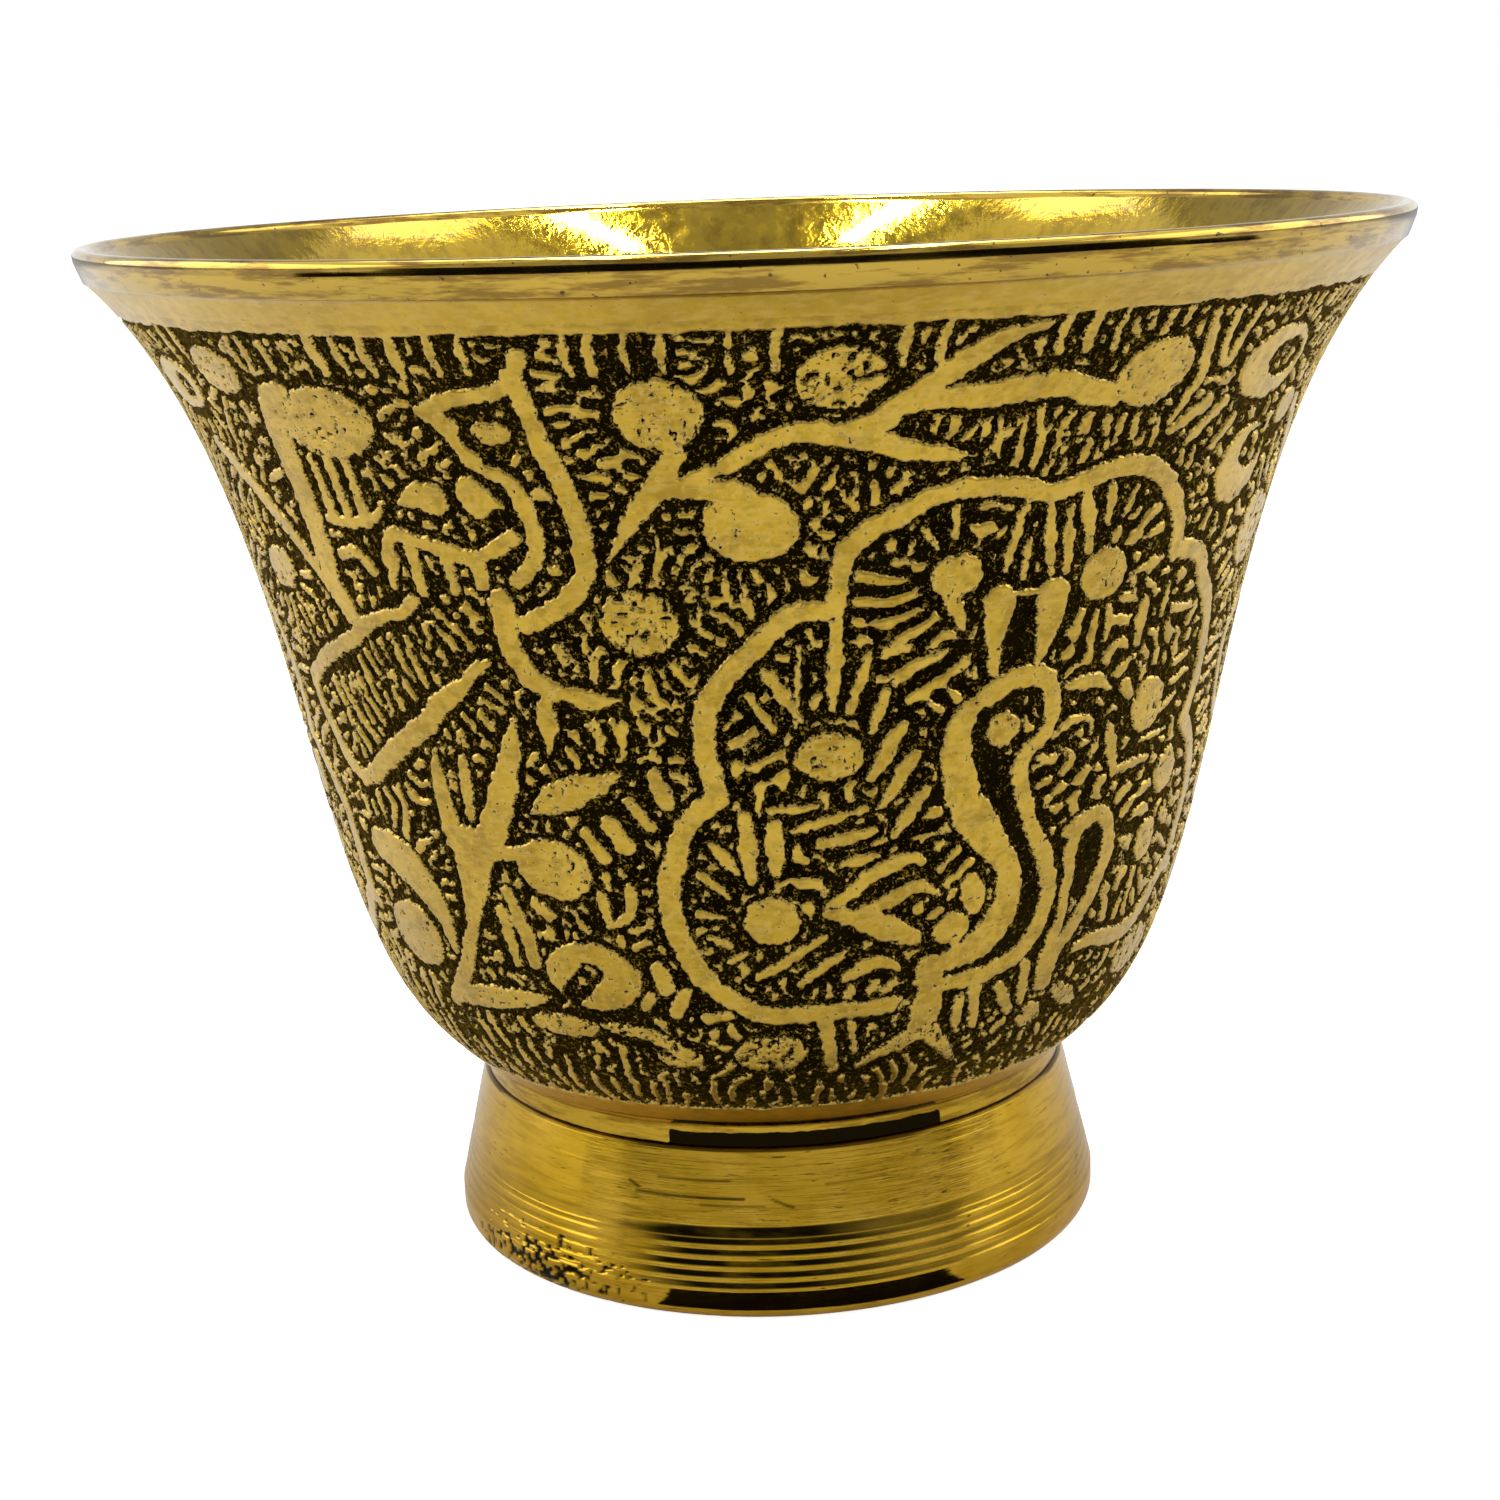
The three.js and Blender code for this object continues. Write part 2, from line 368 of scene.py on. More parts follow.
def draw_branch(field):
    """The flowering branch that runs along the top, from the tall stem to the far bud."""
    stroke, oval = field.stroke, field.oval
    oval((-7.4, 52.6), 2.15, 2.05, pits=0.6)
    stroke([(-6.5, 50.6), (-7.8, 49.3), (-9.5, 48.2), (-11.5, 46.8), (-13.5, 45.2)],
           (1.2, 1.3, 1.2, 0.8, 0.2))
    stroke([(-8, 48.9), (-4.5, 48.9), (-1, 48.5)], (1.1, 1.2, 1.5))
    oval((-0.3, 46.9), 2.35, 1.95, lean=10, pits=0.2)
    stroke([(-6, 49.2), (-3, 49.8), (0, 50.7), (2, 51.3), (5, 51.5), (8, 51.4), (11, 51.9)],
           (0.5, 1.0, 1.2, 1.3, 1.2))
    oval((7.1, 54.1), 2.2, 1.8, pits=0.9)
    stroke([(11, 52.4), (14.5, 53.6), (17.5, 54.8), (20, 55.6), (23.5, 56.2)], (1.0, 1.2, 1.5, 1.2, 0.3))
    stroke([(11, 52.3), (15, 52.8), (19, 52.8), (23, 53), (26, 53.1), (29, 52.6), (32, 52.2)],
           (1.1, 1.2, 1.5, 1.6, 1.5, 1.3))
    oval((35.8, 53.2), 2.45, 1.95, lean=-12, pits=0.35)
    stroke([(6, 51.2), (10, 50.9), (13, 50.4), (16.5, 50), (19.3, 49.8)], (0.9, 1.3, 1.3, 1.0, 0.2))
    oval((-11.3, 42), 2.05, 1.8, pits=0.9)
    # short bars that hang from the upper border
    bars = [(-58, 0.7), (-55.5, 0.6), (-36, 1.0), (-33.5, 0.6), (-30.8, 0.7), (-28, 0.9), (-24.6, 0.6),
            (-22, 0.5), (-13.6, 0.6), (-11.8, 0.7), (-9, 0.5), (-6.3, 0.6), (-1.3, 0.5), (2.2, 0.6),
            (12, 0.7), (15, 0.6), (25, 0.6), (27.5, 0.8), (30.2, 0.5)]
    for angle, width in bars:
        stroke([(angle, 56.5), (angle - 0.3, 55.6), (angle - 0.1, 54.6)], (width * 0.7, width, width * 0.6))


def draw_lower_plant(field):
    """The forked plant with flowers low on the left."""
    stroke, oval, groove = field.stroke, field.oval, field.groove
    stroke([(-33, 29.3), (-31, 31), (-29, 33), (-27.5, 35), (-26.2, 36.8)], (1.9, 1.75, 1.6, 1.3, 0.3))
    stroke([(-38.3, 34.3), (-38.5, 32.5), (-38.4, 30.5), (-38, 29)], (0.3, 1.2, 1.35, 1.4))
    stroke([(-34.3, 34), (-34.6, 32), (-34.8, 30.8)], (0.6, 0.9, 0.7))
    stroke([(-36, 28.9), (-36.6, 27), (-37.8, 25.3), (-39.5, 23.5), (-41.5, 21.8), (-43.5, 20.5),
            (-46, 19.3), (-48, 18.5)], (2.6, 2.3, 1.4, 0.9, 1.0, 1.2, 1.2, 1.0))
    stroke([(-38, 29), (-35.5, 28.6), (-33, 29.3)], (1.6, 2.4, 1.8))
    stroke([(-46, 19), (-41, 19.4), (-36, 19.7), (-32, 19.9), (-29.3, 20.2)], (1.1, 1.6, 1.6, 1.2, 0.3),
           pits=0.3)
    stroke([(-53.5, 27.5), (-50, 27.2), (-46.5, 26), (-44, 24.2), (-43.5, 22)], (2.2, 2.9, 2.4, 1.4, 0.5))
    oval((-51.5, 22.4), 2.45, 2.1, lean=-15, pits=0.3)
    oval((-24.8, 28.2), 2.25, 1.8, lean=8, pits=0.4)
    stroke([(-33, 28.8), (-29, 28.9)], 1.0)
    stroke([(-26.2, 31.4), (-23.5, 32.2), (-20.5, 32.8), (-17.5, 33.3), (-14.8, 33.9)],
           (0.3, 1.6, 1.8, 1.2, 0.1), pits=0.5)
    # the horseshoe flower and what lies under it
    oval((-22.2, 21.9), 2.8, 2.15, pits=0.2)
    groove([(-22.4, 22.1), (-24.3, 21.2), (-26.2, 20.3), (-27.4, 19.5)], (1.3, 1.4, 1.2, 1.2))
    oval((-28, 18.5), 2.2, 0.75, pits=0.8)
    stroke([(-22, 18.8), (-16, 18.4), (-12, 17.4), (-10, 16.3)], (0.6, 1.0, 0.9, 0.5), pits=1.0)
    oval((-12.5, 17), 1.3, 0.8, pits=1.0)
    oval((-0.2, 17.2), 2.0, 1.35, pits=1.0)
    stroke([(6.8, 19), (8, 16)], (0.9, 0.6))
    stroke([(10, 19), (11, 17)], (0.6, 0.4))
    stroke([(-11.5, 33.8), (-10.5, 32.4)], 0.9)
    stroke([(-14.5, 32.3), (-12.5, 31)], 0.7)
    stroke([(-17, 31), (-15.5, 29.8)], 1.1)
    stroke([(-20, 30.4), (-18, 29)], 0.8)
    stroke([(-33.3, 25.3), (-32.8, 22.2)], (0.9, 0.7))
    stroke([(-31.8, 26.5), (-30.3, 24), (-30.2, 22.3)], (0.7, 1.0, 0.8))
    stroke([(-28, 26), (-26.5, 25.5)], 0.9)
    stroke([(-19.2, 26.8), (-18.5, 25.2), (-16, 26), (-15.6, 27.4)], 0.75)
    stroke([(-16, 23.9), (-14.2, 24.3)], 0.5)
    stroke([(-13.5, 22.7), (-12.8, 21.5)], 1.0)
    stroke([(-16, 20.2), (-14.8, 21)], 0.6)
    stroke([(-12, 20), (-10.5, 21.2)], 0.9)
    stroke([(-8, 19.6), (-5.3, 19.8)], 0.7)


def draw_medallion(field):
    """The lobed border, with the ground line that crosses its foot on the right."""
    stroke = field.stroke
    field.panels.append(field.grouped((27.0, 34.0)))
    stroke([(16, 19.9), (8, 19.8), (0, 19.8), (-3, 20.3), (-6, 21.2), (-8.3, 22.4), (-10, 24), (-11, 26),
            (-10.9, 28), (-9.9, 29.1), (-9.1, 30.5), (-7.5, 31.6), (-5.1, 32.5)],
           (1.1, 1.2, 1.25, 1.3, 1.25, 1.2))
    stroke([(-5.1, 32.5), (-5.3, 33.7), (-5.9, 35.1), (-5.8, 36.6), (-5.3, 37.6), (-4, 38.7), (-2.1, 39.8),
            (-0.2, 40.7), (2, 41.8), (4, 42.4), (7.3, 42.4)], (1.3, 1.25, 1.2, 1.15, 1.1))
    stroke([(7.3, 42.4), (7.6, 43.5), (8, 45), (8.8, 45.8), (11.2, 46.7), (13.9, 47.3), (16, 47.9),
            (20, 48.2), (25, 47.9), (28, 47.5), (31, 47.9), (35, 48.4), (38, 48.35), (40.1, 48),
            (42.6, 47.2), (44.8, 46), (46.4, 44.55), (46.9, 43.2)],
           (1.1, 1.2, 1.25, 1.2, 1.15, 1.2, 1.25, 1.2, 1.1))
    stroke([(46.9, 43.2), (48.7, 43.2), (52.3, 42.6), (54.1, 41.4), (56.6, 40.1), (57.9, 38.8), (59, 37.3),
            (59.3, 36), (59, 34.8), (58.3, 33.6), (57.5, 32.9)], (1.1, 1.2, 1.25, 1.2, 1.1))
    stroke([(57.5, 32.9), (59.5, 32.2), (61.5, 31.2), (63.3, 29.9), (64.5, 28.5), (64.2, 26), (64, 24.3),
            (63, 23.6)], 1.2)
    stroke([(43, 20.9), (46, 21.1), (49, 20.9), (52, 20.7), (55, 20.8), (58, 21.5), (60.5, 22.7),
            (63, 23.6), (65, 23.4)], (0.8, 1.3, 1.3, 1.2))


def draw_peacock(field):
    """The peacock in the medallion, from its crest down to its toes."""
    stroke, oval, groove, keep_bare = field.stroke, field.oval, field.groove, field.keep_bare
    # outer line of head, neck, breast and belly
    stroke([(23.9, 37.1), (27.1, 37.8), (30.7, 37.6), (32.1, 36.4), (32.3, 35.3), (31.4, 34.3),
            (29.6, 33.7), (28.9, 32.8), (29.5, 31.6), (30.7, 30.1), (32.1, 28.7), (33.9, 27.5),
            (35.4, 25.8), (35.4, 24), (34.3, 22.6), (32.1, 21.6), (28.6, 21), (25, 20.8), (22.1, 20.7)],
           (1.3, 1.3, 1.0, 1.0, 1.1, 1.2, 1.2, 1.2, 1.1))
    # inner line, which swells into the body
    stroke([(24, 37), (21.5, 36.2), (20.8, 34.9), (21, 33.6), (21.7, 32.3), (22.9, 30.9), (25, 29.5),
            (27, 28.3), (28.6, 27.5), (29.3, 26), (29, 24.5), (27, 23.2), (24, 22.4), (20.5, 22)],
           (0.4, 1.4, 1.6, 1.9, 2.0, 2.2, 2.0, 1.5, 1.5, 1.6, 2.0, 2.2, 1.6, 1.2))
    oval((26.2, 35.1), 0.95, 1.05, pits=0.3)
    oval((22.1, 24.1), 1.05, 1.0)
    oval((24.5, 26), 0.75, 1.35, lean=-12)
    # tail feathers
    stroke([(6.4, 26.1), (9.5, 26.9), (12.5, 28), (16.5, 28.6), (17.5, 28.3)], (0.3, 0.9, 1.0, 1.0, 0.6))
    stroke([(10, 25.7), (14, 26.2), (17.5, 26.9), (20, 26.3)], (0.5, 0.95, 0.95, 0.4))
    stroke([(6.6, 25.8), (11, 25.3), (15, 24.4), (17.5, 23.8)], (0.5, 1.4, 1.7, 0.9))
    stroke([(9, 21.8), (12, 22.6), (15, 22.4), (16, 21.9)], (0.4, 1.0, 0.9, 0.3))
    # legs and toes
    stroke([(19.9, 22), (19.9, 20), (19.9, 18)], (1.6, 1.95, 1.7))
    groove([(18.0, 20.6), (16.6, 19.4), (17.0, 18.2)], (0.5, 0.9, 0.4))
    stroke([(19, 17.8), (16.5, 17.2), (13.5, 16.6), (11.5, 16)], (1.2, 1.0, 0.8, 0.3), pits=0.8)
    stroke([(21, 17.8), (23, 16.9), (25, 15.9), (27, 15.2)], (1.2, 1.0, 0.8, 0.3), pits=0.8)
    # crest
    stroke([(24.2, 42), (24, 40.8), (24.1, 39.3), (24.3, 38.4)], (2.0, 1.4, 0.8, 0.7))
    stroke([(30.3, 42), (30.2, 40.5), (29.8, 39.2), (29.4, 38.5)], (2.1, 1.8, 1.0, 0.5))
    stroke([(25.5, 42.4), (28.6, 42.4)], 0.5)
    # leaves off the beak
    stroke([(33.8, 36.9), (36, 36.9), (38.5, 36.8), (40.5, 36.2)], (0.5, 0.95, 0.9, 0.3))
    stroke([(33, 34.2), (35.5, 34.9), (38, 34.8), (38.6, 34)], (0.4, 0.6, 0.6, 0.4))
    # the looped leaf before the breast
    stroke([(37.8, 19.2), (37.4, 20.2), (37.4, 21), (37.9, 22), (38.5, 23), (38.6, 24), (38.6, 25.5),
            (38.3, 27.5), (38.8, 28.6)], (0.9, 1.0, 1.0, 0.9, 0.8, 0.9, 1.0, 1.2))
    stroke([(37.2, 28.5), (39.2, 28.8), (41.5, 29), (43.6, 28.6), (44.9, 27.4), (45, 26.4), (44.2, 25.1),
            (43.2, 24), (41.9, 22.9), (40.4, 22), (39.0, 21.1), (38.8, 20.2), (38.6, 19.2)],
           (0.8, 1.2, 1.1, 1.0, 1.2, 1.2, 1.2, 1.1, 1.1, 1.1, 1.2, 1.0, 0.9))
    stroke([(41.5, 18.6), (44, 17.8), (46.5, 17.2)], (0.9, 1.3, 0.6), pits=0.8)
    oval((37.5, 17.3), 0.85, 0.9, pits=0.8)
    # the dark throat, the slot in the crest, the loop's opening and the gap before the belly
    keep_bare([(23.4, 36.1), (24.9, 32.9), (27, 31.2), (30, 29), (32.2, 26.7), (32.4, 24.7), (30.6, 23),
               (27, 22)], 1.7)
    keep_bare([(26.9, 41.7), (26.9, 39.1)], 1.4)
    keep_bare([(41.8, 27.8), (41.8, 24.9)], 1.9)
    keep_bare([(36.6, 28), (37.2, 26), (37, 24), (36, 22.2), (34.8, 21)], 1.0)
    # buds
    oval((0.4, 25.5), 1.45, 1.45, pits=0.1)
    oval((6.9, 34.6), 1.8, 1.4, pits=0.7)
    oval((19.2, 43.7), 1.45, 1.2, pits=0.3)
    stroke([(19.2, 43.2), (18.5, 42.8), (19.5, 42), (20.5, 40.8)], (0.9, 0.9, 0.8, 0.3))
    oval((36.4, 42.8), 1.6, 1.5, pits=0.3)
    oval((47.9, 34.7), 1.5, 1.65, pits=0.4)
    oval((55.2, 30.2), 1.2, 1.4, pits=0.4)
    oval((53.5, 26.3), 1.05, 1.3, pits=0.4)
    # strokes under the belly
    stroke([(24.5, 19.5), (25, 17.5)], (0.8, 0.5))
    stroke([(26.8, 19.9), (27.7, 17.6)], (0.8, 0.5))
    stroke([(30.5, 19.8), (32.5, 18.5), (33.3, 18)], (0.8, 0.7, 0.5))
    stroke([(34.3, 20.9), (34.8, 18.5)], (0.8, 0.5))


def draw_rays(field):
    """Short strokes that stand round the buds and in the lobes of the medallion."""
    rays = [
        # round the upper bud
        ((0.7, 39.2), (4, 36.7), 0.7), ((3.9, 40.6), (3.5, 36.3), 0.35), ((7.6, 41.9), (7.2, 37.2), 0.8),
        ((10.9, 40), (9, 37), 0.6), ((12.6, 37.8), (11.3, 35.8), 0.7), ((14.6, 36), (11.5, 33.3), 0.9),
        ((16, 34.3), (12.8, 31.7), 0.9), ((17.5, 32.3), (14.3, 30), 0.8), ((-1.2, 38), (1.3, 36.2), 0.6),
        ((0.8, 31.8), (5.6, 31.9), 0.6), ((3, 30.6), (10.8, 31.6), 0.6), ((6, 29.8), (12, 30.3), 0.8),
        ((8.5, 28.6), (12.5, 28.9), 0.6),
        # round the lower bud
        ((-2.2, 31.5), (-1.7, 27.8), 0.9), ((1, 31), (1, 28.3), 1.0), ((-5.8, 30), (-3.2, 28.3), 0.7),
        ((-7.3, 28.3), (-4.3, 27), 0.6), ((-8, 26), (-4.9, 25.8), 0.5), ((-6.6, 24.6), (-4.3, 24.1), 0.6),
        ((-4.6, 23.2), (-2.7, 23.7), 0.5), ((-1.5, 22.2), (1.5, 22.9), 0.7), ((0, 22.6), (6.5, 24.4), 0.6),
        ((3.5, 21.6), (9.5, 23.7), 0.6),
        # in the top lobe
        ((18.3, 47.3), (18.6, 45.8), 0.5), ((15.2, 46.4), (17, 45.2), 0.5),
        ((25.3, 46.8), (24.2, 43.8), 0.7), ((26.4, 45.2), (26.3, 43.2), 0.5),
        ((28, 47), (29.5, 43.3), 0.7), ((30.5, 46.5), (31.4, 43.2), 0.6), ((32, 47.5), (33.8, 44.2), 0.9),
        ((35, 47.5), (35.5, 45.4), 0.6), ((38.3, 47.2), (37.3, 45.6), 0.5),
        # in the right lobe
        ((43.5, 40.8), (43.6, 38.5), 0.9), ((47.3, 41.5), (47.2, 39.7), 0.5), ((52, 36.6), (55.5, 37), 0.5),
        ((52.3, 35.5), (55.8, 35.9), 0.5), ((51, 34), (54, 34.8), 0.4), ((47, 32.6), (53, 32.8), 0.4),
        ((44, 31.3), (50, 31.5), 0.6), ((41.5, 34), (43.5, 31.2), 0.8),
    ]
    for start, end, width in rays:
        field.stroke([start, end], (width * 0.8, width * 1.1, width * 0.6))


def draw_crescents(field):
    """The crescent flowers and strokes right of the medallion."""
    stroke, oval, hollow, groove = field.stroke, field.oval, field.hollow, field.groove
    oval((53.8, 52.8), 3.45, 2.2)
    hollow((55.6, 52.9), 1.75, 1.1)
    oval((55.4, 47.3), 2.6, 2.35)
    hollow((57.0, 48.1), 1.4, 1.15)
    groove([(57.5, 48.4), (60.5, 49.6)], (1.2, 1.6))
    oval((62.3, 49.9), 1.25, 1.1)
    oval((66, 43), 2.2, 2.2, pits=0.5)
    oval((60, 18.8), 2.2, 1.6, pits=0.7)
    stroke([(40, 56), (41.5, 53.5), (41.8, 52.5), (40, 50.5)], (0.6, 0.8, 0.8, 0.5))
    stroke([(42.8, 56), (43.5, 54), (45, 53.2), (45.8, 56)], 0.6)
    stroke([(40.5, 50), (44.5, 51.2)], (0.7, 1.0))
    stroke([(43.5, 49.3), (47.3, 51)], 0.8)
    stroke([(48, 48.8), (50, 50)], 0.7)


def draw_far_left(field):
    """Two flowers at the far left."""
    field.oval((-51.8, 54.4), 2.15, 1.5, pits=0.5)
    field.oval((-63, 53.3), 2.9, 1.6)
    field.hollow((-61.5, 53.2), 0.9, 0.8)
    field.oval((-61.5, 53.2), 0.3, 0.3)


def draw_all(field):
    """Draws the group in the photograph, one to its left, and one drawn together at the back."""
    motifs = draw_bird_plant, draw_branch, draw_lower_plant, draw_medallion, draw_peacock, draw_rays
    for group in GROUPS:
        field.offset, field.squeeze = group
        for draw in motifs:
            draw(field)
        if group != GROUPS[1]:  # beside that one, the flowers at the far left stand in their place
            draw_crescents(field)
    field.offset, field.squeeze = GROUPS[0]
    draw_far_left(field)


def hatch(field, seed, lean_at, spacing, reach, density):
    """Wavering strokes: many short wave trains laid over each other, each along the local lean.

    spacing is from one stroke to the next, reach about half the length of a train, and density the
    number of trains on a square millimetre. Every second row and column of the field is worked out.
    """
    place = field.place[::2, ::2]
    rows, columns = place.shape[:2]
    random = np.random.default_rng(seed)
    area = 2 * math.pi * MEAN_RADIUS * (field.run[-1] - field.run[0])
    count = int(area * density)
    run = random.uniform(field.run[0] - 0.5, field.run[-1] + 0.5, count * 2)
    height = np.interp(run, WALL_RUN, WALL[:, 1])
    radius = wall_radius(height)
    keep = random.uniform(0, RIM_RADIUS, count * 2) < radius  # as many to a square millimetre everywhere
    height, radius, run = height[keep][:count], radius[keep][:count], run[keep][:count]
    angle = random.uniform(-180, 180, len(height))
    phase = random.uniform(0, 2 * math.pi, len(height))
    scale = random.uniform(0.8, 1.25, len(height))
    leans = np.radians(lean_at(angle, height) + random.normal(0, 7, len(height)))[:, None]

    centre = around(radius, height, angle)
    slope = np.interp(height, WALL[:, 1], np.gradient(WALL[:, 0], WALL[:, 1]))
    rise = around(slope, 1 + 0 * slope, angle)
    rise /= np.linalg.norm(rise, axis=1)[:, None]
    turn = np.radians(angle)
    side = np.stack([np.cos(turn), np.sin(turn), 0 * turn], -1)
    along = rise * np.cos(leans) + side * np.sin(leans)
    across = side * np.cos(leans) - rise * np.sin(leans)

    waves = np.zeros((rows, columns))
    limit = 2.3 * reach  # beyond it a train has faded out
    lows = np.searchsorted(field.run[::2], run - limit)
    highs = np.searchsorted(field.run[::2], run + limit)
    for i in range(len(height)):
        middle = (angle[i] + 180) / 360 * columns
        half = math.degrees(limit / radius[i]) / 360 * columns
        cols = np.arange(int(middle - half), int(middle + half) + 2) % columns
        away = place[lows[i]:highs[i]][:, cols] - centre[i]
        u = away @ along[i]
        v = away @ across[i]
        fade = np.exp(-(u / reach) ** 2 - (v / (0.55 * spacing)) ** 2 * 0.35)
        waves[lows[i]:highs[i], cols] += fade * np.cos(v * (2 * math.pi / (spacing * scale[i])) + phase[i])
    waves /= waves.std()

    waves = waves.repeat(2, 0)[:field.rows].repeat(2, 1)[:, :field.columns]
    waves = (waves + np.vstack([0 * waves[:1], waves[:-1]])) / 2
    waves = (waves + np.roll(waves, 1, 1)) / 2
    return waves * spacing / (2 * math.pi)


def relaxed_leans(field):
    """The strokes' lean in degrees from upright, for each block of the field's grid points.

    It is square to the edges of the shapes, upright at both borders, and relaxed smoothly between. The
    leans are kept as doubled directions (even, odd), in which opposite directions are the same.
    """
    near = np.clip(field.raised, -0.75, 0.3)
    step_up = (field.run[1] - field.run[0]) * 2
    step_round = np.radians(360.0 / field.columns) * wall_radius(field.height)[:, None] * 2
    up = np.zeros_like(near)
    up[1:-1] = (near[2:] - near[:-2]) / step_up
    across = (np.roll(near, -1, 1) - np.roll(near, 1, 1)) / step_round
    edge = (field.raised > -0.7) & (field.raised < 0.25) & (np.hypot(up, across) > 0.5)

    def gather(values):
        """Sums over the blocks of grid points."""
        total = np.zeros((math.ceil(field.rows / LEAN_BLOCK), math.ceil(field.columns / LEAN_BLOCK)))
        for i in range(LEAN_BLOCK):
            for j in range(LEAN_BLOCK):
                part = values[i::LEAN_BLOCK, j::LEAN_BLOCK]
                total[:part.shape[0], :part.shape[1]] += part
        return total

    weight = gather(edge * 1.0)
    fixed = weight > 0.4 * LEAN_BLOCK
    even = np.where(fixed, gather(np.where(edge, up**2 - across**2, 0.0)) / np.maximum(weight, 1), 0.0)
    odd = np.where(fixed, gather(np.where(edge, 2 * up * across, 0.0)) / np.maximum(weight, 1), 0.0)
    length = np.maximum(np.hypot(even, odd), 1e-6)
    even, odd = np.where(fixed, even / length, 1.0), np.where(fixed, odd / length, 0.0)
    for border in (slice(None, 2), slice(-2, None)):
        fixed[border], even[border], odd[border] = True, 1.0, 0.0
    aims = even.copy(), odd.copy()
    for _ in range(LEAN_ROUNDS):
        for values, aim in zip((even, odd), aims):
            mean = (np.roll(values, 1, 1) + np.roll(values, -1, 1)) / 4
            mean[1:-1] += (values[2:] + values[:-2]) / 4
            mean[0] += values[0] / 2
            mean[-1] += values[-1] / 2
            values[:] = np.where(fixed, 0.5 * aim + 0.5 * mean, mean)
    return np.degrees(0.5 * np.arctan2(odd, even))


def finish(field):
    """How far each grid point lies inside the brass, with the ground's strokes and the rough edges."""
    fine = Noise(3)
    place = field.place
    z = field.height[:, None]
    jitter = fine.at(place + 7.0, 0.21)
    leans = relaxed_leans(field)

    def lean_at(angle, height):
        row = np.clip(np.searchsorted(field.height, height) // LEAN_BLOCK, 0, leans.shape[0] - 1)
        col = ((angle + 180.0) / 360.0 * field.columns).astype(int) // LEAN_BLOCK % leans.shape[1]
        return leans[row, col]

    # long strokes inside the lobed panels, and shorter flecks between them
    strokes = 1.25 * hatch(field, 11, lean_at, spacing=1.2, reach=1.6, density=2.0) + 0.12 * jitter
    flecks = 1.2 * hatch(field, 12, lean_at, spacing=0.98, reach=0.85, density=3.0)
    flecks = flecks + 0.24 * fine.at(place + 7.0, 0.23)
    panel = 0 * strokes
    for angle, height in field.panels:
        turn = (field.angle - angle + 180.0) % 360.0 - 180.0
        panel = np.maximum(panel, smooth(1.1, 0.95, np.hypot(turn / 33.0, (z - height) / 14.0)))
    ground = flecks + (strokes - flecks) * panel - 0.03 + 0.12 * fine.at(place + 3.0, 0.7)

    # fewer of them low down, and fewest low on the right
    sparse = smooth(23, 19, z) * smooth(28, 42, field.angle) * (1 - smooth(64, 74, field.angle))
    ground = ground - 0.08 * smooth(18.5, 16.0, z) - 0.10 * sparse

    # they end before the shapes, the upper border and the places that stay bare
    gap = 0.42 + 0.36 * fine.at(place + 11.0, 1.1)
    ground = np.minimum(ground, -field.raised - gap + 0.12 * jitter)
    ground = np.minimum(ground, FIELD_TOP - z - 0.25 - 0.25 * fine.at(place + 13.0, 1.2))
    ground = np.minimum(ground, -field.bare)

    rough = 0.13 * fine.at(place, 0.21) + 0.10 * fine.at(place + 31.0, 0.6)
    brass = np.maximum(field.raised + rough, ground)
    pits = 0.93 - 0.50 * field.pitting - fine.at(place + 17.0, 0.24)
    brass = np.minimum(brass, np.where(field.raised > 0.0, 0.3 * pits, FAR))
    border = 0.12 * fine.at(place + 5.0, 1.1) + 0.09 * fine.at(place + 9.0, 0.25)
    brass = np.maximum(brass, z - FIELD_TOP + border)
    return np.maximum(brass, FIELD_BOTTOM - z + border)


def placed(name, data):
    """A new object in the scene."""
    thing = bpy.data.objects.new(name, data)
    bpy.context.scene.collection.objects.link(thing)
    return thing


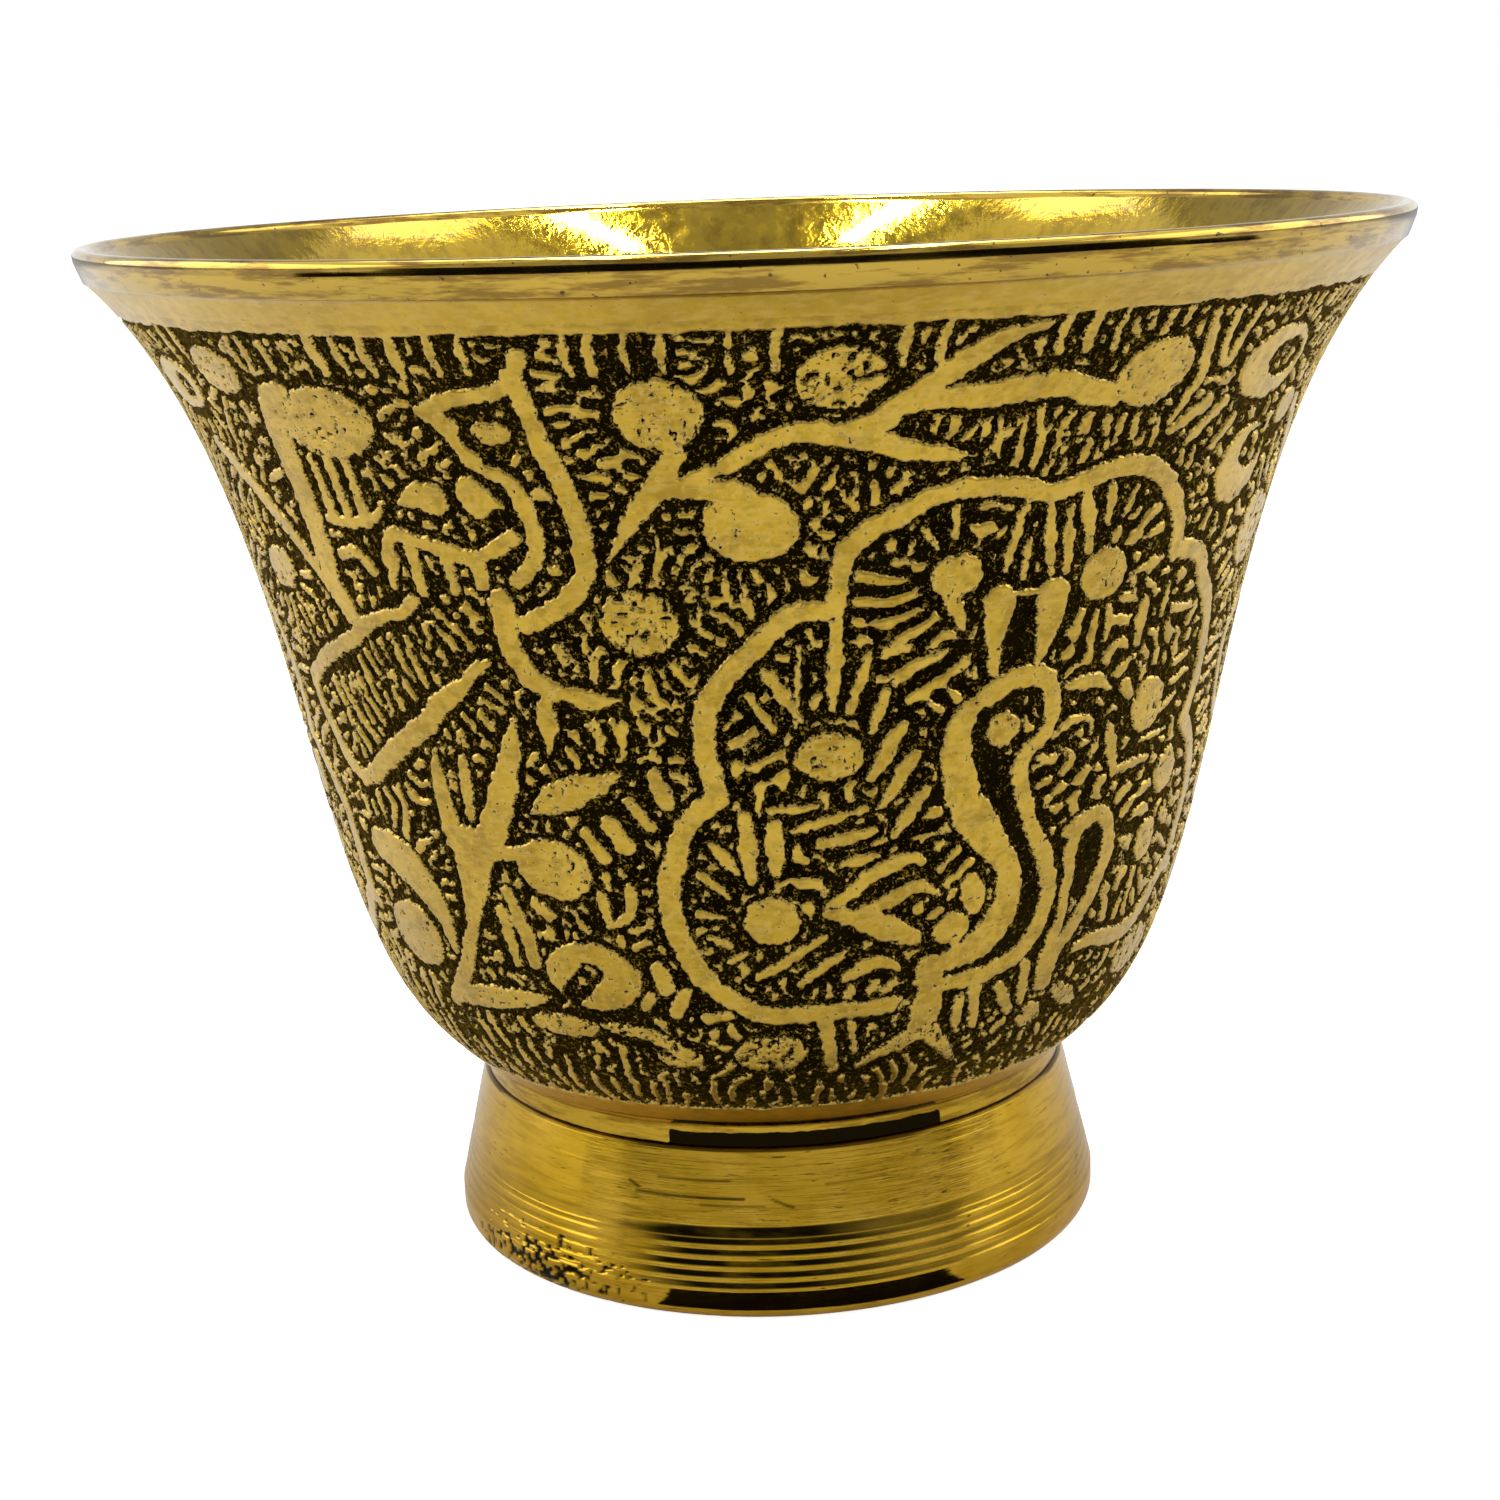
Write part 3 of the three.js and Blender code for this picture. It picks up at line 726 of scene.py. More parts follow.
def ring_mesh(name, rows, slot_of_row=None, closed=False, **attributes):
    """A mesh swept round the axis. rows is (rows, columns, 3) in millimetres, going up on the outside.

    A row on the axis closes the mesh in a fan, and closed joins the last row to the first. The UV map
    runs round the cup and along the rows. Each further argument is a value for every point.
    """
    count, columns = rows.shape[:2]
    on_axis = np.hypot(rows[:, :, 0], rows[:, :, 1]).max(1) < 1e-6

    def kept(grid):
        """The grid's values as one column, with a single one for a row on the axis."""
        return np.concatenate([row[:1] if flat else row for row, flat in zip(grid, on_axis)])

    starts = np.concatenate([[0], np.cumsum(np.where(on_axis, 1, columns))])
    step = np.linalg.norm(np.diff(np.concatenate([rows, rows[:1]]), axis=0), axis=2).mean(1)
    if not closed:
        step = step[:-1]
    travel = np.concatenate([[0], np.cumsum(step)])
    v_of_row = 0.01 + 0.98 * travel / travel[-1]
    column = np.arange(columns)
    beside = (column + 1) % columns
    u0, u1 = column / columns, (column + 1) / columns
    strips = []
    for i in range(len(step)):
        low, high = starts[i], starts[(i + 1) % count]
        v0, v1 = v_of_row[i], v_of_row[i + 1]
        if on_axis[i]:
            corners = (low + 0 * column, u0, v0), (high + beside, u1, v1), (high + column, u0, v1)
        elif on_axis[(i + 1) % count]:
            corners = (low + column, u0, v0), (low + beside, u1, v0), (high + 0 * column, u0, v1)
        else:
            corners = ((low + column, u0, v0), (low + beside, u1, v0), (high + beside, u1, v1),
                       (high + column, u0, v1))
        faces = np.stack([points for points, _, _ in corners], 1)
        uvs = np.stack([value for _, u, v in corners for value in (u, v + 0 * u)], 1)
        strips.append((len(corners), i, faces.ravel(), uvs.ravel()))
    strips.sort(key=lambda strip: strip[0])
    sizes, of_row = (np.repeat([strip[part] for strip in strips], columns) for part in (0, 1))
    corner_points, uvs = (np.concatenate([strip[part] for strip in strips]) for part in (2, 3))

    mesh = bpy.data.meshes.new(name)
    points = kept(rows) / 1000.0
    mesh.vertices.add(len(points))
    mesh.vertices.foreach_set("co", points.astype(np.float32).ravel())
    mesh.loops.add(len(corner_points))
    mesh.loops.foreach_set("vertex_index", corner_points.astype(np.int32))
    mesh.polygons.add(len(sizes))
    mesh.polygons.foreach_set("loop_start", np.concatenate([[0], np.cumsum(sizes)[:-1]]).astype(np.int32))
    mesh.polygons.foreach_set("use_smooth", np.ones(len(sizes), bool))
    mesh.update(calc_edges=True)
    mesh.uv_layers.new(name="OFBake").data.foreach_set("uv", uvs.astype(np.float32))
    if slot_of_row is not None:
        mesh.polygons.foreach_set("material_index", slot_of_row[of_row].astype(np.int32))
    for key, grid in attributes.items():
        values = mesh.attributes.new(key, "FLOAT", "POINT")
        values.data.foreach_set("value", kept(grid).astype(np.float32))
    mesh.validate()
    return placed(name, mesh)


def swept(outline, columns):
    """An outline of (radius, height) points swept round the axis."""
    outline = np.asarray(outline, float)
    return around(outline[:, :1], outline[:, 1:], np.arange(columns) * 360.0 / columns - 180.0)


def between(start, end, steps):
    """Points from start up to, but not at, end."""
    share = np.arange(steps)[:, None] / steps
    return np.array(start) * (1 - share) + np.array(end) * share


def crisp(outline, corner=0.04):
    """The outline with two points close to each corner in its place, so that smooth shading keeps it."""
    outline = [np.array(point, float) for point in outline]
    out = [outline[0]]
    for before, here, after in zip(outline, outline[1:], outline[2:]):
        for other in (before, after):
            gap = np.linalg.norm(other - here)
            out.append(here + (other - here) * min(0.3, corner / max(gap, 1e-6)))
    out.append(outline[-1])
    return np.array(out)


def along_wall(low, high, steps, inside=0.0):
    """Outline points at equal steps along the wall between two heights, a distance inside it."""
    run = np.linspace(wall_run(low), wall_run(high), steps + 1)
    radius, height = (np.interp(run, WALL_RUN, WALL[:, axis]) for axis in (0, 1))
    tangent = wall_tangent(run)
    return np.stack([radius - tangent[:, 1] * inside, height + tangent[:, 0] * inside], -1)


def sunk(field, depth):
    """The field's grid of points, moved square to the wall by a depth for each point."""
    out, up = wall_tangent(field.run).T[:, :, None]
    radius = wall_radius(field.height)[:, None] - up * depth
    return around(radius, field.height[:, None] + out * depth, field.angle)


def make_bowl(field, inside_shape):
    """The turned and etched bowl as one closed body."""
    relief = sunk(field, ETCH_DEPTH * (1 - smooth(-0.10, 0.07, inside_shape)))

    # from the axis over the seat and up the neck
    seat_corner, shoulder = (NECK_RADIUS, SEAT), (NECK_RADIUS, NECK_TOP)
    crease_end = NECK_TOP + 0.5
    under = np.vstack([crisp([(0, SEAT), (NECK_RADIUS * 0.5, SEAT), seat_corner, shoulder])[:-1],
                       between((NECK_RADIUS, SEAT + 0.2), (NECK_RADIUS, NECK_TOP - 0.1), 8),
                       crisp([seat_corner, shoulder, (NECK_RADIUS + NECK_SHOULDER, NECK_TOP),
                              along_wall(NECK_TOP, crease_end, 1)[1]])[1:]])
    base = along_wall(crease_end, field.height[0] - 0.1, 8)[1:]
    upper = along_wall(field.height[-1] + 0.05, LIP_FOOT, 6)

    # the lip: band, facet, crest and the inner edge, which carries the flare on upwards
    facet_top = (RIM_RADIUS, RIM_HEIGHT - FACET_DROP)
    facet_foot = (RIM_RADIUS - FACET_LEAN, facet_top[1] - FACET_HEIGHT)
    band_foot = (RIM_RADIUS - LIP_INSET + LIP_STEP, LIP_FOOT)
    inside_end = SEAT + WAIST_HEIGHT * 0.72  # there the inside leaves the wall's curve for the floor
    inside = along_wall(LIP_FOOT, inside_end, 60, WALL_THICKNESS)
    flare = wall_tangent(wall_run(LIP_FOOT - 0.05))
    inner_edge = inside[0] + flare * (facet_top[1] - inside[0][1]) / flare[1]
    inside = np.vstack([between(inner_edge, inside[0], 3)[1:], inside])
    crest_top = RIM_HEIGHT + FACET_DROP / 3
    crest = bezier([facet_top, (facet_top[0] - CREST_ROUNDING, crest_top),
                    (inner_edge[0] + CREST_ROUNDING, crest_top), inner_edge], 15)
    lip = crisp([upper[-1], band_foot, facet_foot, facet_top, crest[1]])

    # the inside curves down into the flat floor
    floor_height = SEAT + FLOOR_THICKNESS
    floor_edge = (FLOOR_RADIUS, floor_height)
    start = inside[-1]
    down = -wall_tangent(wall_run(inside_end))
    drop = (start[1] - floor_height) / -down[1]
    corner = bezier([start, start + down * drop * 0.55,
                     (FLOOR_RADIUS + (start[0] - FLOOR_RADIUS) * 0.55, floor_height), floor_edge], 32)
    centre = between(floor_edge, (0, floor_height), 6)[1:]
    inner = [inside, corner[1:], centre, [(0, floor_height)]]

    below = np.vstack([under, base])
    above = np.vstack([upper[:-1], lip, crest[2:], *inner])
    rows = np.vstack([swept(below, field.columns), relief, swept(above, field.columns)])
    lip_start = len(below) + len(relief) + len(upper) - 1
    inner_start = len(rows) - sum(len(part) for part in inner)

    # materials: 0 etched outside, 1 inside, 2 lip, 3 neck and seat
    slots = np.zeros(len(rows), int)
    slots[inner_start:] = 1
    slots[:len(under)] = 3
    slots[lip_start:inner_start] = 2

    # the plain brass counts as well inside a raised shape
    plain_below = np.zeros((len(below), field.columns))
    plain_above = np.zeros((len(above), field.columns))
    raised = np.vstack([plain_below + FAR, inside_shape, plain_above + FAR])
    pitted = np.vstack([plain_below, field.pitting, plain_above])

    # painted dark reflection across the front of the neck, dark residue all round its seam with the foot,
    # and all round the lip a painted dark reflection on its facet with painted shade, half as dark, on the
    # band below
    grimed = np.zeros(raised.shape)
    neck = slice(4, len(under) - 2)  # from the seat's corner to the shoulder
    rise = under[neck, 1] - SEAT
    # painted reflection: the span round the front where the neck is darkened
    painted_reflection_span = smooth(-20.2, -19.4, field.angle) * (1 - smooth(31.2, 32.4, field.angle))
    grimed[neck] = np.maximum(painted_reflection_span * (1 - smooth(0.6, 1.2, rise))[:, None], 0.8 * (rise < 0.1)[:, None])
    # painted dark reflection on the lip's facet, and painted shade on the band below it
    grimed[lip_start + 1:lip_start + 7] = np.array([0.5, 0.5, 0.4, 1.0, 1.0, 0.4])[:, None]
    return ring_mesh("etched_bowl", rows, slots, raised=raised, pitted=pitted, grimed=grimed)


def make_lacquer(field, inside_shape, grain):
    """The black filling of the etched field: a thin shell with a crinkled face."""
    rows = slice(3, field.rows - 3, 2)
    face = LACQUER_LEVEL + 0.035 * grain.at(field.place, 0.32) + 0.02 * grain.at(field.place, 0.8)
    outer = sunk(field, face)[rows, ::2]
    back = sunk(field, np.full_like(face, ETCH_DEPTH + 0.03))[rows, ::2][::-8]
    raised = np.vstack([inside_shape[rows, ::2], np.full(back.shape[:2], FAR)])
    return ring_mesh("black_filling", np.vstack([outer, back]), closed=True, raised=raised)


def foot_cone_radius(height):
    """Radius of the foot's cone at a height."""
    share = (height - FOOT_BAND_TOP) / (FOOT_CONE_TOP - FOOT_BAND_TOP)
    return FOOT_RADIUS + (NECK_RADIUS + FOOT_LEDGE - FOOT_RADIUS) * share


def push_out(rows, distance):
    """Moves points straight away from the axis, each by a distance of its own."""
    rows[..., :2] += rows[..., :2] / np.hypot(rows[..., 0], rows[..., 1])[..., None] * distance[..., None]


def make_foot(grain):
    """The turned foot: rounded edge, upright band, lathe grooves, cone and hollow."""
    rest = FOOT_RADIUS - FOOT_EDGE_TUCK
    t = np.linspace(0, 1, 12)[:, None]
    bulge = np.array([FOOT_RADIUS, FOOT_EDGE_RISE * 0.25])
    edge = ((1 - t) ** 2 * np.array([rest, 0]) + 2 * t * (1 - t) * bulge
            + t * t * np.array([FOOT_RADIUS, FOOT_EDGE_RISE]))
    band_end = (FOOT_RADIUS, FOOT_BAND_TOP - 0.03)
    band = np.vstack([between((FOOT_RADIUS, FOOT_EDGE_RISE + 0.08), band_end, 7), [band_end]])

    # the fine grooves and a wider one above them: middle, and where cut and dark band (residue, with a
    # painted dark reflection in front) fade out beside it
    first_groove = FOOT_BAND_TOP + GROOVE_START
    grooves = [(first_groove + i * GROOVE_PITCH, (0.05, 0.20), (0.12, 0.22)) for i in range(GROOVE_COUNT)]
    grooves.append((first_groove + (GROOVE_COUNT - 0.15) * GROOVE_PITCH, (0.20, 0.36), (0.26, 0.36)))
    grooves_end = 5.4  # the rows are 0.03 mm apart up to here, and 0.08 mm above
    heights = np.concatenate([np.arange(FOOT_BAND_TOP, grooves_end, 0.03),
                              np.arange(grooves_end, FOOT_CONE_TOP, 0.08)])
    cut, residue_and_painted_reflection = 0 * heights, 0 * heights
    for middle, cut_sides, residue_and_reflection_sides in grooves:
        cut = np.maximum(cut, 1 - smooth(*cut_sides, np.abs(heights - middle)))
        residue_and_painted_reflection = np.maximum(residue_and_painted_reflection, 1 - smooth(*residue_and_reflection_sides, np.abs(heights - middle)))
    cone = np.stack([foot_cone_radius(heights) - GROOVE_RELIEF * cut, heights], -1)

    lower = crisp([(BORE_RADIUS, FOOT_HEIGHT - 0.02), (BORE_RADIUS, FOOT_HEIGHT - BORE_HEIGHT),
                   (rest - REST_WIDTH, 0.0), (rest, 0.0)])
    hollow = np.vstack([between(a, b, max(1, int(np.hypot(*(b - a)) / 0.5)))
                        for a, b in zip(lower, lower[1:])])
    cone_edge = foot_cone_radius(FOOT_CONE_TOP)
    cap = crisp([(cone_edge, FOOT_CONE_TOP), (cone_edge - FOOT_TOP_CHAMFER, FOOT_HEIGHT),
                 (BORE_RADIUS, FOOT_HEIGHT)])
    rows = swept(np.vstack([hollow, edge, band, cone, cap]), FOOT_COLUMNS)
    first = len(hollow) + len(edge) + len(band)
    on_cone = slice(first, first + len(cone))
    turn = np.degrees(np.arctan2(rows[..., 0], -rows[..., 1]))
    height = rows[..., 2]
    outside = np.hypot(rows[..., 0], rows[..., 1]) > BORE_RADIUS + 2.2  # not in the hollow

    # the grooves hold a little dark residue all round and a painted dark reflection in front, and the top
    # chamfer is dark all round
    ragged = turn[:1] + 5 * grain.at(rows[on_cone] * np.array([0.1, 0.1, 1.0]), 0.5)
    # painted reflection: the span round the front where the grooves are darkened most
    painted_reflection_span = smooth(-28, -16, ragged) * (1 - 0.45 * smooth(6, 26, ragged)) * (1 - smooth(30, 42, ragged))
    stained = np.zeros(rows.shape[:2])
    # a little residue all round (0.15) and a painted dark reflection in front (0.85)
    stained[on_cone] = residue_and_painted_reflection[:, None] * (0.15 + 0.85 * painted_reflection_span)
    stained[on_cone.stop:] = 0.8

    # the worn, pitted patch at the lower left
    worn = np.exp(-((turn + 45) / 15) ** 2 - ((height - 1.4) / 1.4) ** 2) * outside
    pits = smooth(0.05, 0.25, grain.at(rows, 0.26) + 0.85 * worn - 0.58) * (worn > 0.08)
    stained = np.maximum(stained, pits)

    # scratches round the cone: from angle, to angle, height, rise along it, darkness
    for start, end, level, rise, darkness in (
            (-26, -6, 7.0, -0.05, 0.9), (-22, -8, 7.9, 0.05, 0.6), (-1, 3, 6.9, -0.5, 0.8),
            (-14, -2, 6.55, 0.0, 0.5), (-27, -25, 7.5, -0.3, 0.9), (8, 20, 7.6, 0.1, 0.4),
            (33.5, 34.6, 3.3, 1.1, 0.8)):
        along = np.clip((turn - start) / (end - start), 0, 1)
        near = 1 - smooth(0.04, 0.12, np.abs(height - level - rise * along))
        stained = np.maximum(stained, darkness * near * (turn > start) * (turn < end) * outside)

    # all of it lies a hair inside the solid, the pits deeper
    ripple = 0.012 * grain.at(rows * np.array([0.25, 0.25, 1.0]), 0.6) * outside
    push_out(rows, -(0.10 * pits + ripple + 0.012))
    return ring_mesh("turned_foot", rows, closed=True, stained=stained)


def make_solder(grain):
    """The bead of solder in the corner inside the foot."""
    shares = ((1, 0), (0.72, 0.22), (0.4, 0.4), (0.2, 0.7), (0, 1))  # of the leg: inwards and down
    face = [(BORE_RADIUS - SOLDER_LEG * a, FOOT_HEIGHT - SOLDER_LEG * b) for a, b in shares]
    outline = np.vstack([between(a, b, 3) for a, b in zip(face, face[1:])]
                        + [[face[-1]], [(BORE_RADIUS, FOOT_HEIGHT)]])
    rows = swept(outline, SOLDER_COLUMNS)
    free = np.zeros(len(outline))  # the bead is lumpiest in the middle of its face
    free[1:12] = np.sin(np.pi * np.arange(1, 12) / 12)
    push_out(rows, (0.10 * grain.at(rows, 1.1) + 0.05 * grain.at(rows, 0.4)) * free[:, None])
    return ring_mesh("solder_bead", rows, closed=True)


class Nodes:
    """Adds nodes to a tree. Every input is a number, a colour or another node's output."""

    def __init__(self, tree):
        self.tree = tree

    def put(self, socket, value):
        if isinstance(value, bpy.types.NodeSocket):
            self.tree.links.new(value, socket)
        else:
            socket.default_value = value

    def add(self, kind, *values, **named):
        """A new node, with values for its inputs in their order or by name."""
        node = self.tree.nodes.new("ShaderNode" + kind)
        for socket, value in zip(node.inputs, values):
            self.put(socket, value)
        for name, value in named.items():
            self.put(node.inputs[name], value)
        return node

    def math(self, operation, *values):
        node = self.add("Math", *values)
        node.operation = operation
        return node.outputs[0]

    def ramp(self, value, low, high, start=0.0, end=1.0, kind="SMOOTHSTEP"):
        """Goes from start to end while the value goes from low to high."""
        node = self.add("MapRange", value, low, high, start, end)
        node.interpolation_type = kind
        return node.outputs[0]

    def camera_ray(self):
        return self.add("LightPath").outputs["Is Camera Ray"]


class Look(Nodes):
    """A material. Lengths are millimetres."""

    def __init__(self, name):
        self.material = bpy.data.materials.new(name)
        self.material.use_nodes = True
        super().__init__(self.material.node_tree)
        self.tree.nodes.clear()
        self.surface = self.add("BsdfPrincipled")
        self.output = self.add("OutputMaterial", self.surface.outputs[0])
        self.place = self.add("TexCoord").outputs["Object"]

    def set(self, **values):
        for name, value in values.items():
            self.put(self.surface.inputs[name.replace("_", " ")], value)

    def stretched(self, scale=(1, 1, 1)):
        """Object coordinates, scaled along each axis."""
        return self.add("Mapping", Vector=self.place, Scale=[1000.0 * share for share in scale]).outputs[0]

    def noise(self, grain, detail=2.0, rough=0.5, scale=(1, 1, 1), distortion=0.0):
        """Noise with a grain size, about 0 to 1."""
        return self.add("TexNoise", Vector=self.stretched(scale), Scale=1.0 / grain, Detail=detail,
                        Roughness=rough, Distortion=distortion).outputs["Fac"]

    def height(self):
        """Height above the resting plane."""
        return self.add("SeparateXYZ", self.stretched()).outputs[2]

    def turned_noise(self, pitch, detail=2.0, waver=0.02):
        """Fine lines round the axis, as a lathe leaves them: noise over radius and height."""
        x, y, z = self.add("SeparateXYZ", self.stretched()).outputs
        square = self.math("ADD", self.math("MULTIPLY", x, x), self.math("MULTIPLY", y, y))
        radius = self.math("ADD", self.math("MULTIPLY", y, waver), self.math("SQRT", square))
        place = self.add("CombineXYZ", self.math("MULTIPLY", x, waver), radius, z).outputs[0]
        return self.add("TexNoise", Vector=place, Scale=1.0 / pitch, Detail=detail).outputs["Fac"]

    def blend(self, share, first, second):
        """From the first colour at a share of 0 to the second at 1."""
        node = self.add("Mix", share)
        node.data_type = "RGBA"
        for socket, value in ((node.inputs[6], first), (node.inputs[7], second)):
            self.put(socket, value if isinstance(value, bpy.types.NodeSocket) else (*value, 1.0))
        return node.outputs[2]

    def bump(self, height, distance, after=None):
        """The normal over bumps whose height of 1 stands for a distance, on top of another normal."""
        node = self.add("Bump", Height=height, Distance=distance / 1000.0)
        if after is not None:
            self.put(node.inputs["Normal"], after)
        return node.outputs[0]

    def attribute(self, name):
        node = self.add("Attribute")
        node.attribute_name = name
        return node.outputs["Fac"]


BRASS = (0.78, 0.50, 0.033)
BRASS_DEEP = (0.64, 0.40, 0.021)
BRASS_PALE = (0.84, 0.59, 0.14)
BRASS_STAINED = (0.38, 0.225, 0.006)
BLACK = (0.012, 0.009, 0.003)


def etched_brass():
    """Satin brass of the outside, with black left in its pits and along the etched edges, and a painted
    highlight just inside the edges of the raised shapes.
    """
    s = Look("etched_brass")
    raised = s.attribute("raised")
    cloud = s.ramp(s.noise(7.0, 3), 0.35, 0.65)
    stain = s.ramp(s.noise(1.3, 4, 0.66), 0.45, 0.62)
    middle = s.math("MULTIPLY", s.ramp(raised, 0.15, 0.6), s.ramp(s.noise(0.9, 3, 0.6), 0.38, 0.60))
    plain = s.ramp(raised, 2.0, 4.0, 0.62, 0.22)
    stain = s.math("MULTIPLY", s.math("MAXIMUM", stain, middle), plain)
    metal = s.blend(stain, s.blend(cloud, BRASS, BRASS_DEEP), BRASS_STAINED)
    streak = s.ramp(s.noise(0.3, 3, 0.6, (0.3, 0.3, 1.0)), 0.40, 0.70)
    # painted highlight: brass paled just inside the edges of the raised shapes, as where their rounding
    # catches the light
    rim = s.ramp(raised, 0.05, 0.22, 1.0, 0.0)
    pale = s.math("MAXIMUM", s.math("MULTIPLY", streak, 0.4), s.math("MULTIPLY", rim, 0.6))
    metal = s.blend(pale, metal, BRASS_PALE)
    crumble = s.math("MULTIPLY_ADD", s.noise(0.18, 3, 0.65), 0.50, -0.25)
    edge = s.ramp(s.math("ADD", raised, crumble), -0.02, 0.09)
    limit = s.math("MULTIPLY_ADD", s.attribute("pitted"), -0.13, 0.715)
    pit = s.ramp(s.math("SUBTRACT", s.noise(0.24, 2, 0.55), limit), 0.0, 0.03)
    black = s.math("MAXIMUM", s.math("SUBTRACT", 1.0, edge), s.math("MULTIPLY", pit, 0.8))
    s.set(Base_Color=s.blend(black, metal, BLACK))
    s.set(Metallic=s.math("SUBTRACT", 1.0, s.math("MULTIPLY", black, 0.85)))
    s.set(Roughness=s.ramp(s.noise(0.9, 4, 0.65), 0.3, 0.75, 0.30, 0.44))
    brushed = s.bump(s.noise(0.25, 3, 0.65, (0.5, 0.5, 1.0)), 0.012)
    s.set(Normal=s.bump(s.noise(1.3, 3), 0.07, after=brushed))
    s.set(Coat_Weight=s.math("MULTIPLY_ADD", black, -0.8, 0.8), Coat_Roughness=0.3, Coat_IOR=1.4)
    s.set(Specular_IOR_Level=s.math("MULTIPLY_ADD", black, -0.48, 0.5))
    return s.material


def inner_brass():
    """Brass of the inside: bright under the lip, duller and paler deep down, with turning marks."""
    s = Look("inner_brass")
    cloud = s.ramp(s.noise(6.0, 3), 0.3, 0.7)
    metal = s.blend(cloud, (0.74, 0.495, 0.032), (0.60, 0.39, 0.010))
    stain = s.ramp(s.noise(1.6, 4, 0.65, (1.0, 1.0, 0.6)), 0.44, 0.66)
    metal = s.blend(s.math("MULTIPLY", stain, 0.6), metal, (0.36, 0.21, 0.006))
    deep = s.ramp(s.height(), 54.0, 36.0)
    tarnish = s.blend(s.ramp(s.noise(2.4, 5, 0.65), 0.40, 0.62), (0.60, 0.45, 0.19), (0.44, 0.31, 0.11))
    bottom = s.ramp(s.height(), 21.0, 12.0)
    tarnish = s.blend(bottom, tarnish, (0.23, 0.16, 0.062))
    s.set(Base_Color=s.blend(deep, metal, tarnish), Metallic=1.0)
    dull = s.math("ADD", s.math("MULTIPLY", deep, 0.14), s.math("MULTIPLY", bottom, 0.20))
    s.set(Roughness=s.math("ADD", s.ramp(s.noise(1.0, 3), 0.3, 0.7, 0.07, 0.13), dull))
    lines = s.bump(s.turned_noise(0.22, 3), 0.004)
    s.set(Normal=s.bump(s.noise(0.9, 3, 0.6), 0.036, after=lines))
    s.set(Coat_Weight=s.math("MULTIPLY_ADD", deep, -0.9, 0.9), Coat_Roughness=0.06, Coat_IOR=1.45)
    return s.material


def lip_brass():
    """The polished turned lip, with brown smudges, dark specks, a painted dark reflection on its facet and
    painted shade on the band below it.
    """
    s = Look("lip_brass")
    smudge = s.ramp(s.noise(0.9, 4, 0.68, (0.2, 0.2, 1.6)), 0.44, 0.60)
    metal = s.blend(s.math("MULTIPLY", smudge, 0.85), (0.82, 0.54, 0.065), (0.30, 0.16, 0.012))
    patchy = s.ramp(s.noise(2.2, 4, 0.6, (0.25, 0.25, 1.0)), 0.3, 0.6, 0.5, 0.9)
    # painted dark reflection on the facet and painted shade on the band below it
    grime = s.math("MULTIPLY", s.attribute("grimed"), patchy)
    metal = s.blend(s.math("MULTIPLY", grime, 0.6), metal, (0.10, 0.055, 0.008))
    speck = s.ramp(s.noise(0.4, 2, 0.5), 0.69, 0.72)
    s.set(Base_Color=s.blend(s.math("MULTIPLY", speck, 0.8), metal, BLACK), Metallic=1.0)
    s.set(Roughness=s.ramp(s.noise(1.3, 3, 0.6, (0.3, 0.3, 1.0)), 0.3, 0.7, 0.08, 0.17))
    s.set(Normal=s.bump(s.turned_noise(0.16, 3), 0.005))
    s.set(Coat_Weight=0.7, Coat_Roughness=0.05, Coat_IOR=1.45)
    return s.material


def neck_brass():
    """The mirror-bright turned neck and underside of the bowl, with dark residue along its seam with the
    foot and a painted dark reflection across the front of the neck.
    """
    s = Look("neck_brass")
    smear = s.ramp(s.noise(0.7, 4, 0.66, (0.22, 0.22, 1.5)), 0.40, 0.62)
    metal = s.blend(smear, (0.68, 0.43, 0.042), (0.36, 0.205, 0.016))
    patchy = s.math("MULTIPLY_ADD", s.noise(0.5, 3, 0.6, (0.4, 0.4, 1.0)), 0.7, -0.35)
    # painted dark reflection across the front of the neck, and dark residue along the seam
    seam_soot_and_painted_reflection = s.ramp(s.math("ADD", s.attribute("grimed"), patchy), 0.42, 0.52)
    s.set(Base_Color=s.blend(seam_soot_and_painted_reflection, metal, (0.012, 0.008, 0.002)), Metallic=1.0)
    s.set(Roughness=s.ramp(s.noise(1.1, 3), 0.3, 0.7, 0.10, 0.18))
    s.set(Normal=s.bump(s.turned_noise(0.2, 3), 0.006))
    return s.material


def foot_brass():
    """Turned brass of the foot, with lathe lines, dark residue in the grooves and a painted dark reflection
    in them at the front, and a few dark scratches.
    """
    s = Look("foot_brass")
    cloud = s.ramp(s.noise(4.0, 3), 0.35, 0.65)
    streak = s.ramp(s.noise(0.5, 4, 0.65, (0.16, 0.16, 1.6)), 0.45, 0.65)
    metal = s.blend(cloud, (0.74, 0.455, 0.045), (0.64, 0.385, 0.022))
    metal = s.blend(s.math("MULTIPLY", streak, 0.6), metal, (0.46, 0.26, 0.012))
    dark = s.ramp(s.noise(0.5, 4, 0.6, (0.35, 0.35, 3.0)), 0.64, 0.70)
    patchy = s.ramp(s.noise(1.2, 3, 0.6, (0.3, 0.3, 1.0)), 0.25, 0.55, 0.8, 1.0)
    # the dark residue in the grooves, with the painted dark reflection in front, and the pits and scratches
    residue_and_painted_reflection = s.math("MULTIPLY", s.attribute("stained"), patchy)
    dirt_and_painted_reflection = s.math("MAXIMUM", s.math("MULTIPLY", dark, 0.7), residue_and_painted_reflection)
    s.set(Base_Color=s.blend(dirt_and_painted_reflection, metal, (0.010, 0.007, 0.002)), Metallic=1.0)
    s.set(Roughness=s.ramp(s.noise(1.0, 3), 0.3, 0.7, 0.08, 0.15))
    s.set(Normal=s.bump(s.turned_noise(0.14, 4, 0.03), 0.008))
    return s.material


